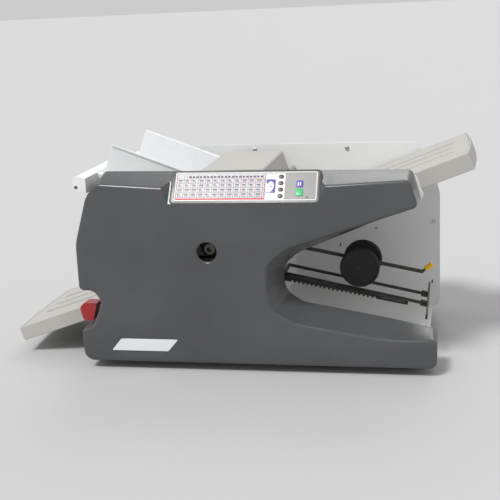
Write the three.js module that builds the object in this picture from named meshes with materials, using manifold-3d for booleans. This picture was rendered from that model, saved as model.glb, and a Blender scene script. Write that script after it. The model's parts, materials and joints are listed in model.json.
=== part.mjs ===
// A tabletop paper folder: an inclined feed table, a feed head, four fold rollers between two side frames,
// two buckle plates, and an exit with stacker wheels inside a C-shaped front cover.
// Millimetres. X runs along the paper path, Y from the operator's side to the back, Z up from the table top.
import * as THREE from "three";
import { mergeVertices } from "three/addons/utils/BufferGeometryUtils.js";
import Module from "manifold-3d";

const wasm = await Module();
wasm.setup();

// ---- Driving dimensions ----
const gap = 0.3; // between pieces that touch
const footHeight = 17;
const bodyTop = 394; // rim of the front cover
const bodyLeft = -315; // left end of the covers
const bodyRight = 390; // right end of the covers
const coverDepth = 76;
const coverWall = 3.5;
const sheet = 3; // side frames
const frameSpacing = 298; // clear width between the side frames
const rearDepth = 66;
const feedSlope = 20.8; // degrees, table and guides
const plate1Slope = 20.5;
const plate2Slope = 18.7;
const exitSlope = 12.1;
const rollerRadius = 18;
const rollerGap = 0.6; // between neighbouring rollers
const shaftRadius = 6;
const shaftClearance = 0.4;
const feedRollerRadius = 25;
const plateLength = 405; // upper fold plate, along its slope
const lowerPlateLength = 516;
const wheelRadius = 40.6;
const wheelWidth = 12;
const armRadius = 4;
const rodRadius = 3.5;
const panelWidth = 276;
const panelHeight = 61;
const panelSlope = 53; // degrees from level
const guideHeight = 55;
const beltWidth = 9;

// ---- Levels worked out from them ----
const frontFrameY = coverDepth + 2;
const innerFrontY = frontFrameY + sheet;
const innerRearY = innerFrontY + frameSpacing;
const rearFrameY = innerRearY + sheet;
const backY = rearFrameY + rearDepth;
const middleY = (innerFrontY + innerRearY) / 2;

const rad = THREE.MathUtils.degToRad;
const sin = (degrees) => Math.sin(rad(degrees));
const cos = (degrees) => Math.cos(rad(degrees));
const lerp = THREE.MathUtils.lerp;
const point = (x, z) => new THREE.Vector2(x, z);

// ---- Solids ----
function toSolid(geometry) {
  const bare = geometry.clone();
  bare.deleteAttribute("normal");
  bare.deleteAttribute("uv");
  const merged = mergeVertices(bare, 1e-4);
  const corners = merged.index.array;
  const triVerts = [];
  for (let i = 0; i < corners.length; i += 3) {
    const [a, b, c] = [corners[i], corners[i + 1], corners[i + 2]];
    if (a !== b && b !== c && c !== a) triVerts.push(a, b, c);
  }
  const vertProperties = merged.attributes.position.array;
  const mesh = new wasm.Mesh({ numProp: 3, vertProperties, triVerts: new Uint32Array(triVerts) });
  return new wasm.Manifold(mesh);
}

function toGeometry(solid) {
  const mesh = solid.getMesh();
  const geometry = new THREE.BufferGeometry();
  geometry.setAttribute("position", new THREE.BufferAttribute(mesh.vertProperties, 3));
  geometry.setIndex(new THREE.BufferAttribute(mesh.triVerts, 1));
  geometry.computeVertexNormals();
  return geometry;
}

const join = (first, ...rest) => toGeometry(rest.reduce((all, g) => all.add(toSolid(g)), toSolid(first)));
const cut = (first, ...rest) => toGeometry(rest.reduce((all, g) => all.subtract(toSolid(g)), toSolid(first)));

// A box between two corners.
function block(x0, x1, y0, y1, z0, z1) {
  const box = new THREE.BoxGeometry(x1 - x0, y1 - y0, z1 - z0);
  return box.translate((x0 + x1) / 2, (y0 + y1) / 2, (z0 + z1) / 2);
}

// An outline in X and Z, extruded along Y.
function slab(shape, y0, y1, curveSegments = 3) {
  const options = { depth: y1 - y0, bevelEnabled: false, curveSegments };
  return new THREE.ExtrudeGeometry(shape, options).rotateX(Math.PI / 2).translate(0, y1, 0);
}

// An outline in Y and Z, extruded along X.
function bar(shape, x0, x1) {
  const options = { depth: x1 - x0, bevelEnabled: false, curveSegments: 6 };
  const geometry = new THREE.ExtrudeGeometry(shape, options);
  return geometry.rotateX(Math.PI / 2).rotateZ(Math.PI / 2).translate(x0, 0, 0);
}

// An outline in X and Y, extruded up.
function tile(shape, z0, z1, curveSegments = 3) {
  const options = { depth: z1 - z0, bevelEnabled: false, curveSegments };
  return new THREE.ExtrudeGeometry(shape, options).translate(0, 0, z0);
}

// A round piece on an axis along Y, from pairs of radius and Y that start and end on the axis.
const roundSides = 12;
function turned(x, z, pairs, segments = roundSides) {
  const profile = pairs.map(([radius, y]) => new THREE.Vector2(radius, y));
  return new THREE.LatheGeometry(profile, segments).translate(x, 0, z);
}

const rod = (x, z, radius, y0, y1, segments = roundSides) =>
  turned(x, z, [[0, y0], [radius, y0], [radius, y1], [0, y1]], segments);

const polygon = (points) => new THREE.Shape(points.map(([x, z]) => point(x, z)));

function roundedRectangle(x0, x1, y0, y1, r) {
  const shape = new THREE.Shape();
  shape.absarc(x1 - r, y0 + r, r, -Math.PI / 2, 0);
  shape.absarc(x1 - r, y1 - r, r, 0, Math.PI / 2);
  shape.absarc(x0 + r, y1 - r, r, Math.PI / 2, Math.PI);
  shape.absarc(x0 + r, y0 + r, r, Math.PI, Math.PI * 1.5);
  return shape;
}

// Corners [x, z, rounding] turned into a closed outline, each corner rounded off along both its sides.
function roundedOutline(corners, steps = 3) {
  const outline = [];
  corners.forEach(([x, z, rounding], i) => {
    const corner = point(x, z);
    const [beforeX, beforeZ] = corners[(i + corners.length - 1) % corners.length];
    const [afterX, afterZ] = corners[(i + 1) % corners.length];
    const back = point(beforeX, beforeZ).sub(corner);
    const ahead = point(afterX, afterZ).sub(corner);
    const start = back.clone().setLength(Math.min(rounding, back.length() * 0.48)).add(corner);
    const end = ahead.clone().setLength(Math.min(rounding, ahead.length() * 0.48)).add(corner);
    outline.push(...new THREE.QuadraticBezierCurve(start, corner, end).getPoints(steps));
  });
  return outline;
}

// An outline moved outwards by a distance (inwards when negative).
function offsetOutline(outline, distance) {
  return outline.map((here, i) => {
    const before = outline[(i + outline.length - 1) % outline.length];
    const after = outline[(i + 1) % outline.length];
    const along = after.clone().sub(before).normalize();
    return point(here.x + along.y * distance, here.y - along.x * distance);
  });
}

// A solid through outlines of equal length, each at its own Y, front first.
function loft(sections) {
  const first = sections[0].outline;
  const shape = new THREE.Shape(first);
  const options = { depth: 1, steps: sections.length - 1, bevelEnabled: false };
  const geometry = new THREE.ExtrudeGeometry(shape, options);
  const place = geometry.attributes.position;
  for (let i = 0; i < place.count; i += 1) {
    const here = point(place.getX(i), place.getY(i));
    const number = first.findIndex((corner) => corner.distanceTo(here) < 0.001);
    const section = sections[Math.round((1 - place.getZ(i)) * (sections.length - 1))];
    const corner = section.outline[number];
    place.setXYZ(i, corner.x, corner.y, -section.y);
  }
  return geometry.rotateX(Math.PI / 2);
}

// ---- Nodes ----
const machine = new THREE.Group();

function add(parent, name, geometry, color, roughness = 0.6, metalness = 0) {
  const mesh = new THREE.Mesh(geometry, new THREE.MeshStandardMaterial({ color, roughness, metalness }));
  mesh.name = name;
  parent.add(mesh);
  return mesh;
}

// A group that leans about Y: its own +X points up the slope to the right.
function leaning(slope, x, z) {
  const group = new THREE.Group();
  group.position.set(x, 0, z);
  group.rotation.y = -rad(slope);
  machine.add(group);
  return group;
}

const inGroup = (geometry, slope, x, z) => geometry.rotateY(-rad(slope)).translate(x, 0, z);

const darkGrey = 0x55575a;
const paleGrey = 0xdcdedc;
const warmGrey = 0xcdcbc4;
const white = 0xf2f2f0;
const black = 0x1e1e1e;
const steel = 0xa8a8a4;

// ---- Roller train ----
const pitch = 2 * rollerRadius + rollerGap;
const roller2 = { x: 34.4, z: 234 };
const roller1 = { x: roller2.x, z: roller2.z + pitch };
const roller3 = { x: roller2.x + pitch * sin(25), z: roller2.z - pitch * cos(25) };
const roller4 = { x: roller3.x - pitch * sin(exitSlope), z: roller3.z - pitch * cos(exitSlope) };
const rollers = [roller1, roller2, roller3, roller4];
const nip1 = { x: roller2.x, z: (roller1.z + roller2.z) / 2 };
const nip2 = { x: (roller2.x + roller3.x) / 2, z: (roller2.z + roller3.z) / 2 };
const crank = { x: -44.5, z: 246.5 };
const motor = { x: -190, z: 236 };
const feedStart = { x: -300, z: bodyTop };
const feedRun = 305; // along the table, from its left end to the feed shaft
const feedLift = feedRollerRadius + 1.2;
const feedShaft = {
  x: feedStart.x + feedRun * cos(feedSlope) + feedLift * sin(feedSlope),
  z: feedStart.z - feedRun * sin(feedSlope) + feedLift * cos(feedSlope),
};
const hinge = { x: 70, z: 346 };

const leverPivot = { x: -297, z: 120 };
const bearingThickness = 8;
const bearingMargin = 15; // from a roller's centre to the edge of its bearing block
const rodStart = { x: Math.max(...rollers.map(({ x }) => x)) + bearingMargin + 1.13, z: 156.8 };
const wheelLift = 11.7; // from the rods to the lowest point that the arm allows the wheels
const armPivot = { x: 78, z: rodStart.z + wheelLift + wheelRadius };
const holes = [...rollers, feedShaft, crank];

// ---- Covers ----
// Corners of the front cover, each with its place on the front face, its place at the rim, and its rounding.
// The throat corners and the top slope all the way back, and the others turn in close to the front face.
const noseZ = 264; // where the upper half starts to lean back
const coverCorners = [
  { front: [bodyLeft + 8, footHeight + 6], rim: [bodyLeft, footHeight], rounding: 22 },
  { front: [bodyRight - 8, footHeight + 6], rim: [bodyRight, footHeight], rounding: 15 },
  { front: [bodyRight - 8, 72], rim: [bodyRight, 76], rounding: 9 },
  { front: [300, 70], rim: [300, 96.5], rounding: 55, slopes: true },
  { front: [150, 95.5], rim: [150, 124], rounding: 12, slopes: true },
  { front: [118, 101], rim: [128, 128], rounding: 24, slopes: true },
  { front: [72, 128], rim: [97, 150], rounding: 24, slopes: true },
  { front: [65.5, 172], rim: [91, 176], rounding: 22, slopes: true },
  { front: [69, 222], rim: [94, 205], rounding: 24, slopes: true },
  { front: [108, 254.5], rim: [122, 229], rounding: 26, slopes: true },
  { front: [356, 333.6], rim: [360, 326], rounding: 7, slopes: true },
  { front: [341, bodyTop - 12], rim: [344, bodyTop - 4], rounding: 8, slopes: true },
  { front: [188, bodyTop - 22], rim: [188, bodyTop - 3], rounding: 14, slopes: true },
  { front: [-122, bodyTop - 24], rim: [-122, bodyTop - 1.5], rounding: 14, slopes: true },
  { front: [-256, bodyTop - 14], rim: [-265, bodyTop], rounding: 8, slopes: true },
  { front: [-274, 356], rim: [-281, 358], rounding: 14 },
  { front: [-302, noseZ], rim: [-310, 262], rounding: 14 },
  { front: [-304, 174], rim: [-312, 167], rounding: 5 },
  { front: [-276, 172], rim: [-281, 165], rounding: 8 },
  { front: [-260, 142], rim: [-267, 142], rounding: 9 },
  { front: [-286, 80], rim: [-291, 87], rounding: 9 },
  { front: [-306, 77], rim: [-314, 84], rounding: 4 },
];

function coverOutline(y, inset = 0) {
  const turn = Math.min(y / 10, 1);
  const edge = Math.sqrt(turn * (2 - turn));
  const slope = lerp(0.12 * edge, 1, Math.max(0, y) / coverDepth);
  const corners = coverCorners.map(({ front, rim, rounding, slopes }) => {
    const along = slopes ? slope : edge;
    return [lerp(front[0], rim[0], along), lerp(front[1], rim[1], along), rounding];
  });
  return offsetOutline(roundedOutline(corners, 2), -inset);
}

// The front face leans back above its nose and below it, less and less towards the rim.
const upperLean = 0.02;
const lowerLean = 0.035;
function leanBack(geometry) {
  const place = geometry.attributes.position;
  for (let i = 0; i < place.count; i += 1) {
    const rise = place.getZ(i) - noseZ;
    const lean = rise > 0 ? rise * upperLean : -rise * lowerLean;
    place.setY(i, place.getY(i) + lean * (1 - place.getY(i) / coverDepth));
  }
  return geometry;
}

function leanBothHalves(geometry) {
  const far = 1000;
  const lower = cut(geometry, block(-far, far, -far, far, noseZ, far));
  const upper = cut(geometry, block(-far, far, -far, far, -far, noseZ));
  return join(leanBack(lower), leanBack(upper));
}

const panelBorder = 7;
const panelLeft = -105;
const panelFoot = { y: 4, z: bodyTop - 47.5 };
const bezelDepth = 14;

function onPanel(geometry) {
  return geometry.rotateX(rad(panelSlope)).translate(panelLeft, panelFoot.y, panelFoot.z);
}

// The face is cut back to the panel's slope round the bezel.
const recessLevel = -1;
const recess = tile(
  roundedRectangle(-panelBorder - 13, panelWidth + panelBorder + 8, -60, panelHeight + 30, 14),
  recessLevel,
  90,
);

// A wall closes the shell behind that slope.
const recessWall = tile(
  roundedRectangle(-panelBorder - 16, panelWidth + panelBorder + 11, -5, panelHeight - 5, 4),
  recessLevel - coverWall,
  recessLevel,
);

const badge = { left: -254, right: -136, low: 41, high: 66.5, slant: 22 };
const badgeShape = (grow) => polygon([
  [badge.left - grow, badge.low - grow],
  [badge.right + grow, badge.low - grow],
  [badge.right + badge.slant + grow, badge.high + grow],
  [badge.left + badge.slant - grow, badge.high + grow],
]);
const badgeDepth = 1.8;

function thumbRecess() {
  const shape = new THREE.Shape();
  shape.moveTo(badge.left + 4, badge.low - 2);
  shape.quadraticCurveTo((badge.left + badge.right) / 2, badge.low - 24, badge.right - 4, badge.low - 2);
  return shape;
}

const crankHoleRadius = 19;

function makeFrontCover() {
  const outer = loft([0, 1.5, 5, 10, coverDepth].map((y) => ({ y, outline: coverOutline(y) })));
  const hollowYs = [coverWall, 10, coverDepth + 4];
  const hollow = loft(hollowYs.map((y) => ({ y, outline: coverOutline(y, coverWall) })));
  const pocket = tile(
    roundedRectangle(-panelBorder - gap, panelWidth + panelBorder + gap, -5 - gap, panelHeight + 4 + gap, 8),
    -bezelDepth - gap,
    60,
  );
  const shell = cut(
    outer,
    hollow,
    rod(crank.x, crank.z, crankHoleRadius, -5, coverWall + 5, 16),
    slab(badgeShape(gap), -5, badgeDepth),
    slab(thumbRecess(), -5, badgeDepth),
  );
  return cut(join(leanBothHalves(shell), onPanel(recessWall)), onPanel(recess), onPanel(pocket));
}

add(machine, "front_cover", makeFrontCover(), darkGrey, 0.55);
add(machine, "name_badge", leanBack(slab(badgeShape(0), 0.2, badgeDepth - gap)), white, 0.4);

// ---- Side frames ----
const frameTop = bodyTop - 7;
const frontFrameCorners = [
  [bodyLeft + 8, footHeight + 3, 14],
  [bodyRight - 14, footHeight + 3, 12],
  [bodyRight - 14, 70, 6],
  [150, 117, 10],
  [125, 121, 12],
  [91, 146, 14],
  [85, 176, 14],
  [88, 210, 14],
  [116, 235, 18],
  [350, 322, 4],
  [365, 338, 6],
  [350, frameTop - 6, 8],
  [-258, frameTop, 8],
  [-274, 356, 10],
  [-302, 262, 14],
  [-304, 174, 6],
  [-272, 170, 8],
  [-258, 142, 10],
  [-282, 80, 8],
  [-306, 76, 4],
];
const rearFrameTop = bodyTop + 4;
const rearFrameCorners = [
  [bodyLeft + 8, footHeight + 5, 14],
  [bodyRight - 4, footHeight + 9, 14],
  [bodyRight, 50, 6],
  [bodyRight, 286, 8],
  [bodyRight - 6, 307, 6],
  [348, rearFrameTop - 5, 10],
  [338, rearFrameTop, 5],
  [-262, rearFrameTop, 12],
  [-284, 356, 14],
  [-310, 262, 20],
];

// The two fold plates lie in ledges on the side frames.
const plateTop = 10.7; // above the paper's path
const plateThickness = 33.6;
const lowerPlateTop = 17;
const lowerPlateThickness = 30;
const plateStart = 46; // from its nip, along the slope
const ledgeReach = 14;
const plateSideGap = 9; // between a fold plate and the side frames

function ledges(y0, y1) {
  const under1 = plateTop - plateThickness - gap;
  const under2 = lowerPlateTop - lowerPlateThickness - gap;
  const upper = block(plateStart + 4, 310, y0, y1, under1 - 3, under1);
  const lower = block(-300, -plateStart - 24, y0, y1, under2 - 3, under2);
  return [inGroup(upper, plate1Slope, nip1.x, nip1.z), inGroup(lower, plate2Slope, nip2.x, nip2.z)];
}

const boreAt = ({ x, z }, radius, y0, y1) => rod(x, z, radius, y0, y1);

const shaftBore = shaftRadius + shaftClearance;
const frontHoles = [...holes, motor].map((place) => boreAt(place, shaftBore, 0, innerFrontY + 1));
const pivotPin = 4;
add(machine, "front_side_frame", cut(
  join(
    slab(new THREE.Shape(roundedOutline(frontFrameCorners, 2)), frontFrameY, innerFrontY),
    ...ledges(innerFrontY - 1, innerFrontY + ledgeReach),
  ),
  ...frontHoles,
), paleGrey, 0.5, 0.1);

const rearHoles = [...rollers, feedShaft].map((place) => (
  boreAt(place, shaftRadius + shaftClearance, innerRearY - 1, backY)
));
const ventHoles = [
  boreAt({ x: 250, z: 206 }, 2.2, innerRearY - 1, backY),
  slab(roundedRectangle(168.5, 171.5, 163, 172, 1.4), innerRearY - 1, rearFrameY + 1),
  slab(roundedRectangle(371.5, 374.5, 79, 88, 1.4), innerRearY - 1, rearFrameY + 1),
];
add(machine, "rear_side_panel", cut(
  join(
    slab(new THREE.Shape(roundedOutline(rearFrameCorners, 2)), innerRearY, rearFrameY),
    ...ledges(innerRearY - ledgeReach, innerRearY + 1),
  ),
  ...rearHoles,
  ...ventHoles,
), paleGrey, 0.5, 0.1);

// ---- Rear cover ----
const rearInset = 11;
const inlet = { x: -215, z: 75, width: 31, height: 25 };
const rocker = { x: -160, z: 75, width: 20, height: 26 };

function rearOutline(inset) {
  const inner = rearInset + inset;
  return roundedOutline([
    [bodyLeft + 8 + inner, footHeight + 5 + inset, 14],
    [bodyRight - 4 - inner, footHeight + 9 + inset, 14],
    [bodyRight - inner, 286, 12],
    [345 - inner, rearFrameTop - inner, 14],
    [-262 + inner, rearFrameTop - inner, 14],
    [-284 + inner, 356, 14],
    [-310 + inner, 262, 20],
  ], 2);
}

function makeRearCover() {
  const flangeY = rearFrameY + gap;
  const outer = loft([
    { y: flangeY, outline: rearOutline(0) },
    { y: backY - 9, outline: rearOutline(2) },
    { y: backY - 3, outline: rearOutline(5) },
    { y: backY, outline: rearOutline(11) },
  ]);
  const hollow = loft([
    { y: flangeY - 5, outline: rearOutline(coverWall) },
    { y: backY - 11, outline: rearOutline(coverWall + 2) },
    { y: backY - coverWall, outline: rearOutline(coverWall + 8) },
  ]);
  const slots = [];
  for (let i = 0; i < 9; i += 1) {
    const x = 180 + i * 15;
    slots.push(slab(roundedRectangle(x, x + 5, 110, 190, 2.4), backY - 10, backY + 5, 1));
  }
  const opening = ({ x, z, width, height }) => block(
    x - width / 2 - gap,
    x + width / 2 + gap,
    backY - 10,
    backY + 5,
    z - height / 2 - gap,
    z + height / 2 + gap,
  );
  return cut(outer, hollow, ...slots, opening(inlet), opening(rocker));
}
add(machine, "rear_cover", makeRearCover(), darkGrey, 0.55);

const inletBody = block(
  inlet.x - inlet.width / 2, inlet.x + inlet.width / 2, backY - 24, backY, inlet.z - inlet.height / 2,
  inlet.z + inlet.height / 2,
);
const inletMouth = block(inlet.x - 12, inlet.x + 12, backY - 18, backY + 1, inlet.z - 8, inlet.z + 8);
const blade = (x, z) => block(x - 1, x + 1, backY - 19, backY - 5, z - 3, z + 3);
add(machine, "mains_inlet", join(
  cut(inletBody, inletMouth),
  blade(inlet.x - 7, inlet.z - 2),
  blade(inlet.x, inlet.z + 2),
  blade(inlet.x + 7, inlet.z - 2),
), black, 0.5);

const rockerAxisY = backY - 8;
const rockerRadius = 11;
const rockerShape = new THREE.Shape();
rockerShape.absarc(rockerAxisY, rocker.z, rockerRadius, -Math.PI * 0.36, Math.PI * 0.36);
rockerShape.lineTo(rockerAxisY - 6, rocker.z + 4);
rockerShape.lineTo(rockerAxisY - 6, rocker.z - 4);
add(machine, "power_rocker", bar(rockerShape, rocker.x - 8, rocker.x + 8), black, 0.4);

// ---- Base, feet, deck, ties ----
const panFloor = footHeight + gap;
const panFlange = 9;
const panShape = new THREE.Shape([
  point(innerFrontY + gap, panFloor),
  point(innerRearY - gap, panFloor),
  point(innerRearY - gap, panFloor + panFlange),
  point(innerRearY - gap - 3, panFloor + panFlange),
  point(innerRearY - gap - 3, panFloor + 3),
  point(innerFrontY + gap + 3, panFloor + 3),
  point(innerFrontY + gap + 3, panFloor + panFlange),
  point(innerFrontY + gap, panFloor + panFlange),
]);
add(machine, "base_pan", bar(panShape, bodyLeft + 26, bodyRight - 20), steel, 0.4, 0.7);

const footInset = 45;
const footNames = ["front_left_foot", "front_right_foot", "rear_left_foot", "rear_right_foot"];
footNames.forEach((name, i) => {
  const x = i % 2 === 0 ? bodyLeft + footInset + 10 : bodyRight - footInset;
  const y = i < 2 ? innerFrontY + 24 : innerRearY - 24;
  const profile = [[0, 0], [10, 0], [12, 2], [14, footHeight], [0, footHeight]];
  const foot = turned(0, 0, profile).rotateX(Math.PI / 2).translate(x, y, 0);
  add(machine, name, foot, black, 0.9);
});

const deckLeft = rodStart.x - 0.6;
const deckRight = bodyRight - 17;
const deckEndZ = panFloor + panFlange + 4.7;
const deckZ = (x) => deckEndZ + (deckRight - x) * Math.tan(rad(exitSlope));
const deckShape = polygon([
  [deckLeft, deckZ(deckLeft) - 3],
  [deckRight, deckZ(deckRight) - 3],
  [deckRight, deckZ(deckRight)],
  [deckLeft + 3, deckZ(deckLeft + 3)],
  [deckLeft + 3, rodStart.z + 6],
  [deckLeft, rodStart.z + 6],
]);
const rodNearY = middleY - 45;
const rodFarY = middleY + 21;
const railY = middleY - 78;
const railWidth = 6;

// ---- Stacker ----
const stacker = leaning(-exitSlope, rodStart.x, rodStart.z);
const rodLength = (bodyRight - 20 - rodStart.x) / cos(exitSlope);
const rodStartX = 8;

function roundBar(y, x0, x1, radius) {
  const round = new THREE.CylinderGeometry(radius, radius, x1 - x0, 12);
  return round.rotateZ(Math.PI / 2).translate((x0 + x1) / 2, y, 0);
}

const crossRod = rod(rodStartX, 0, rodRadius, rodNearY - 3, rodFarY + 3, 12);
add(stacker, "stacker_rods", join(
  crossRod,
  roundBar(rodNearY, rodStartX, rodLength, rodRadius),
  roundBar(rodFarY, rodStartX, rodLength, rodRadius),
), 0x3a352c, 0.3, 0.8);

const barBore = rodRadius + 0.3;
const stopThickness = 4;
const bushLength = 13;
const stopStart = rodLength - stopThickness - bushLength;
const stopFace = stopStart + bushLength;
const stopBlock = block(stopFace, stopFace + stopThickness, rodNearY - 86, rodFarY + 80, -5, 5);
add(stacker, "stop_bar", cut(
  join(stopBlock, roundBar(rodNearY, stopStart, stopStart + bushLength + 2, 7),
    roundBar(rodFarY, stopStart, stopStart + bushLength + 2, 7)),
  roundBar(rodNearY, stopStart - 5, rodLength + 9, barBore),
  roundBar(rodFarY, stopStart - 5, rodLength + 9, barBore),
), black, 0.5);

// The notched rail reaches out from the deck's upright wall. Its lower edge rises to the right.
const railStart = 4.2;
const railLength = rodLength * 0.865;
const railTop = 7;
const railLow = -6;
const railTipLow = -1;
const railEdge = (x) => lerp(railLow, railTipLow, x / railLength);
const notches = 20;
const notchPitch = 9;
const notchWidth = 4.5;
const notchDepth = 3.5;
const railOutline = [[railStart, railTop], [railStart, railEdge(railStart)]];
for (let i = 0; i < notches; i += 1) {
  const x = 28 + i * notchPitch;
  const roof = railEdge(x) + notchDepth;
  railOutline.push([x, railEdge(x)], [x, roof]);
  railOutline.push([x + notchWidth, roof], [x + notchWidth, railEdge(x + notchWidth)]);
}
railOutline.push([railLength, railTipLow], [railLength, railTop]);
const railSlot = block(railLength - 55, railLength - 6, railY - 1, railY + railWidth + 1, 2, 4);
const railBody = slab(polygon(railOutline), railY, railY + railWidth);
add(stacker, "notched_rail", cut(railBody, railSlot), black, 0.45);

const deckWall = slab(deckShape, innerFrontY + gap, innerRearY - gap);
add(machine, "exit_deck", deckWall, white, 0.5);

// ---- Stacker arm and wheels ----
const armSlope = 11.6;
const arm = leaning(-armSlope, armPivot.x, armPivot.z);
const armLength = (bodyRight - 26 - armPivot.x) / cos(armSlope);
const armY = middleY - 13;
const armReach = armLength - 8;
const tieRadius = 4;
const eyeRadius = 9;
const armEye = cut(
  rod(0, 0, eyeRadius, armY - 7, armY + 7, 16),
  rod(0, 0, tieRadius + shaftClearance, armY - 9, armY + 9, 16),
);
const elbow = new THREE.Vector3(armReach, armY, 0);
const tipAngle = 50;
const tipLength = 22;
function towards(start, angle, length, radius) {
  const round = new THREE.CylinderGeometry(radius, radius, length, 12);
  round.translate(0, length / 2, 0).rotateZ(-Math.PI / 2).rotateY(-rad(angle));
  return round.translate(start.x, start.y, start.z);
}
const gripStart = 9;
add(arm, "stacker_arm", join(
  armEye,
  roundBar(armY, 7, armReach, armRadius),
  new THREE.SphereGeometry(armRadius * 0.999, 8, 6).translate(armReach, armY, 0),
  towards(elbow, tipAngle, tipLength, armRadius * 0.7),
), black, 0.4, 0.5);
const gripFoot = new THREE.Vector3(armReach + gripStart * cos(tipAngle), armY, gripStart * sin(tipAngle));
add(arm, "arm_grip", cut(
  towards(gripFoot, tipAngle, tipLength - gripStart + 4, armRadius + 1.4),
  towards(elbow, tipAngle, tipLength + gap, armRadius * 0.7 + gap),
), 0xf0b000, 0.5);

const wheelX = 158.2;
const axleDrop = 8;
const wheelSpread = 36; // from the arm to each wheel's middle
const axleRadius = 3;
const axleEnd = wheelSpread + wheelWidth / 2 - 2;
add(arm, "wheel_carriage", cut(
  join(
    block(wheelX - 9, wheelX + 9, armY - 8, armY + 8, -axleDrop - 6, 8),
    rod(wheelX, -axleDrop, axleRadius, armY - axleEnd, armY + axleEnd, 12),
    rod(wheelX, -axleDrop, axleRadius + 3, armY - wheelSpread + 7, armY + wheelSpread - 7, 12),
  ),
  roundBar(armY, wheelX - 20, wheelX + 20, armRadius + gap),
), black, 0.5);
[["near_stacker_wheel", -1], ["far_stacker_wheel", 1]].forEach(([name, side]) => {
  const y = armY + side * wheelSpread;
  const half = wheelWidth / 2;
  const inner = axleRadius + gap;
  const profile = [
    [inner, y - half], [wheelRadius - 3, y - half], [wheelRadius, y - half + 3],
    [wheelRadius, y + half - 3], [wheelRadius - 3, y + half], [inner, y + half], [inner, y - half],
  ];
  add(arm, name, turned(wheelX, -axleDrop, profile, 24), 0x202020, 0.85);
});
const tieRod = ({ x, z }) => rod(x, z, tieRadius, innerFrontY + gap, innerRearY - gap);
add(machine, "arm_pivot_rod", tieRod(armPivot), steel, 0.3, 0.9);
add(machine, "hinge_rod", tieRod(hinge), steel, 0.3, 0.9);

// ---- Rollers, gears, belts ----
const gearTeeth = 12;
const gearY = rearFrameY + 4;
const gearWidth = 9;
const gearModule = pitch / gearTeeth;
const toothAngle = (Math.PI * 2) / gearTeeth;

function gearOutline(phase) {
  const tip = pitch / 2 + gearModule * 0.75;
  const root = pitch / 2 - gearModule * 0.95;
  const outline = [];
  for (let i = 0; i < gearTeeth; i += 1) {
    const middle = phase + i * toothAngle;
    [[root, -0.3], [tip, -0.1], [tip, 0.1], [root, 0.3]].forEach(([radius, share]) => {
      const angle = middle + share * toothAngle;
      outline.push(point(radius * Math.cos(angle), radius * Math.sin(angle)));
    });
  }
  return new THREE.Shape(outline);
}

// Each gear's phase sets its teeth in the gaps of the gear before it.
const phases = [0];
for (let i = 1; i < rollers.length; i += 1) {
  const line = Math.atan2(rollers[i].z - rollers[i - 1].z, rollers[i].x - rollers[i - 1].x);
  phases.push(line + Math.PI + (line - phases[i - 1]) - Math.PI / gearTeeth);
}

const beltY = frontFrameY - 14;
const feedBeltY = gearY + gearWidth + 3;
const beltThickness = 2;
const crankPulley = 24;
const motorPulley = 12;
const rollerPulley = 15;
const feedPulley = 15;
const rollerEnd = innerFrontY + gap + bearingThickness + 3;
const rollerFar = innerRearY - gap - bearingThickness - 3;

function flangedPulley(radius, y) {
  return [[radius + 3, y - 2], [radius + 3, y], [radius, y], [radius, y + beltWidth + 1],
    [radius + 3, y + beltWidth + 1], [radius + 3, y + beltWidth + 3]];
}

rollers.forEach((place, i) => {
  const frontEnd = i === 1 ? beltY - 4 : frontFrameY - 2;
  const pulley = i === 1 ? flangedPulley(rollerPulley, beltY) : [];
  const backEnd = i === 0 ? feedBeltY + beltWidth + 4 : gearY + gearWidth + 1;
  const backPulley = i === 0 ? flangedPulley(feedPulley, feedBeltY) : [];
  const profile = [[0, frontEnd], [shaftRadius, frontEnd]];
  pulley.forEach(([radius, y]) => profile.push([radius, y]));
  if (pulley.length) profile.splice(2, 0, [shaftRadius, beltY - 2]);
  if (pulley.length) profile.push([shaftRadius, beltY + beltWidth + 3]);
  profile.push([shaftRadius, rollerEnd], [rollerRadius, rollerEnd]);
  profile.push([rollerRadius, rollerFar], [shaftRadius, rollerFar]);
  if (backPulley.length) {
    profile.push([shaftRadius, feedBeltY - 2], ...backPulley, [shaftRadius, feedBeltY + beltWidth + 3]);
  }
  profile.push([shaftRadius, backEnd], [0, backEnd]);
  const gear = slab(gearOutline(phases[i]), gearY, gearY + gearWidth).translate(place.x, 0, place.z);
  const roller = join(turned(place.x, place.z, profile), gear);
  add(machine, `fold_roller_${i + 1}`, roller, 0x3b3b3d, 0.7);
});

const tyreWidth = 22;
const feedProfile = [[0, frontFrameY - 2], [shaftRadius, frontFrameY - 2]];
[-55, 0, 55].forEach((offset) => {
  const start = middleY + offset - tyreWidth / 2;
  feedProfile.push([shaftRadius, start], [feedRollerRadius, start]);
  feedProfile.push([feedRollerRadius, start + tyreWidth], [shaftRadius, start + tyreWidth]);
});
feedProfile.push([shaftRadius, feedBeltY - 2], ...flangedPulley(feedPulley, feedBeltY));
feedProfile.push([shaftRadius, feedBeltY + beltWidth + 3], [shaftRadius, feedBeltY + beltWidth + 4]);
feedProfile.push([0, feedBeltY + beltWidth + 4]);
add(machine, "feed_roller", turned(feedShaft.x, feedShaft.z, feedProfile, roundSides), 0x303030, 0.9);

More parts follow.
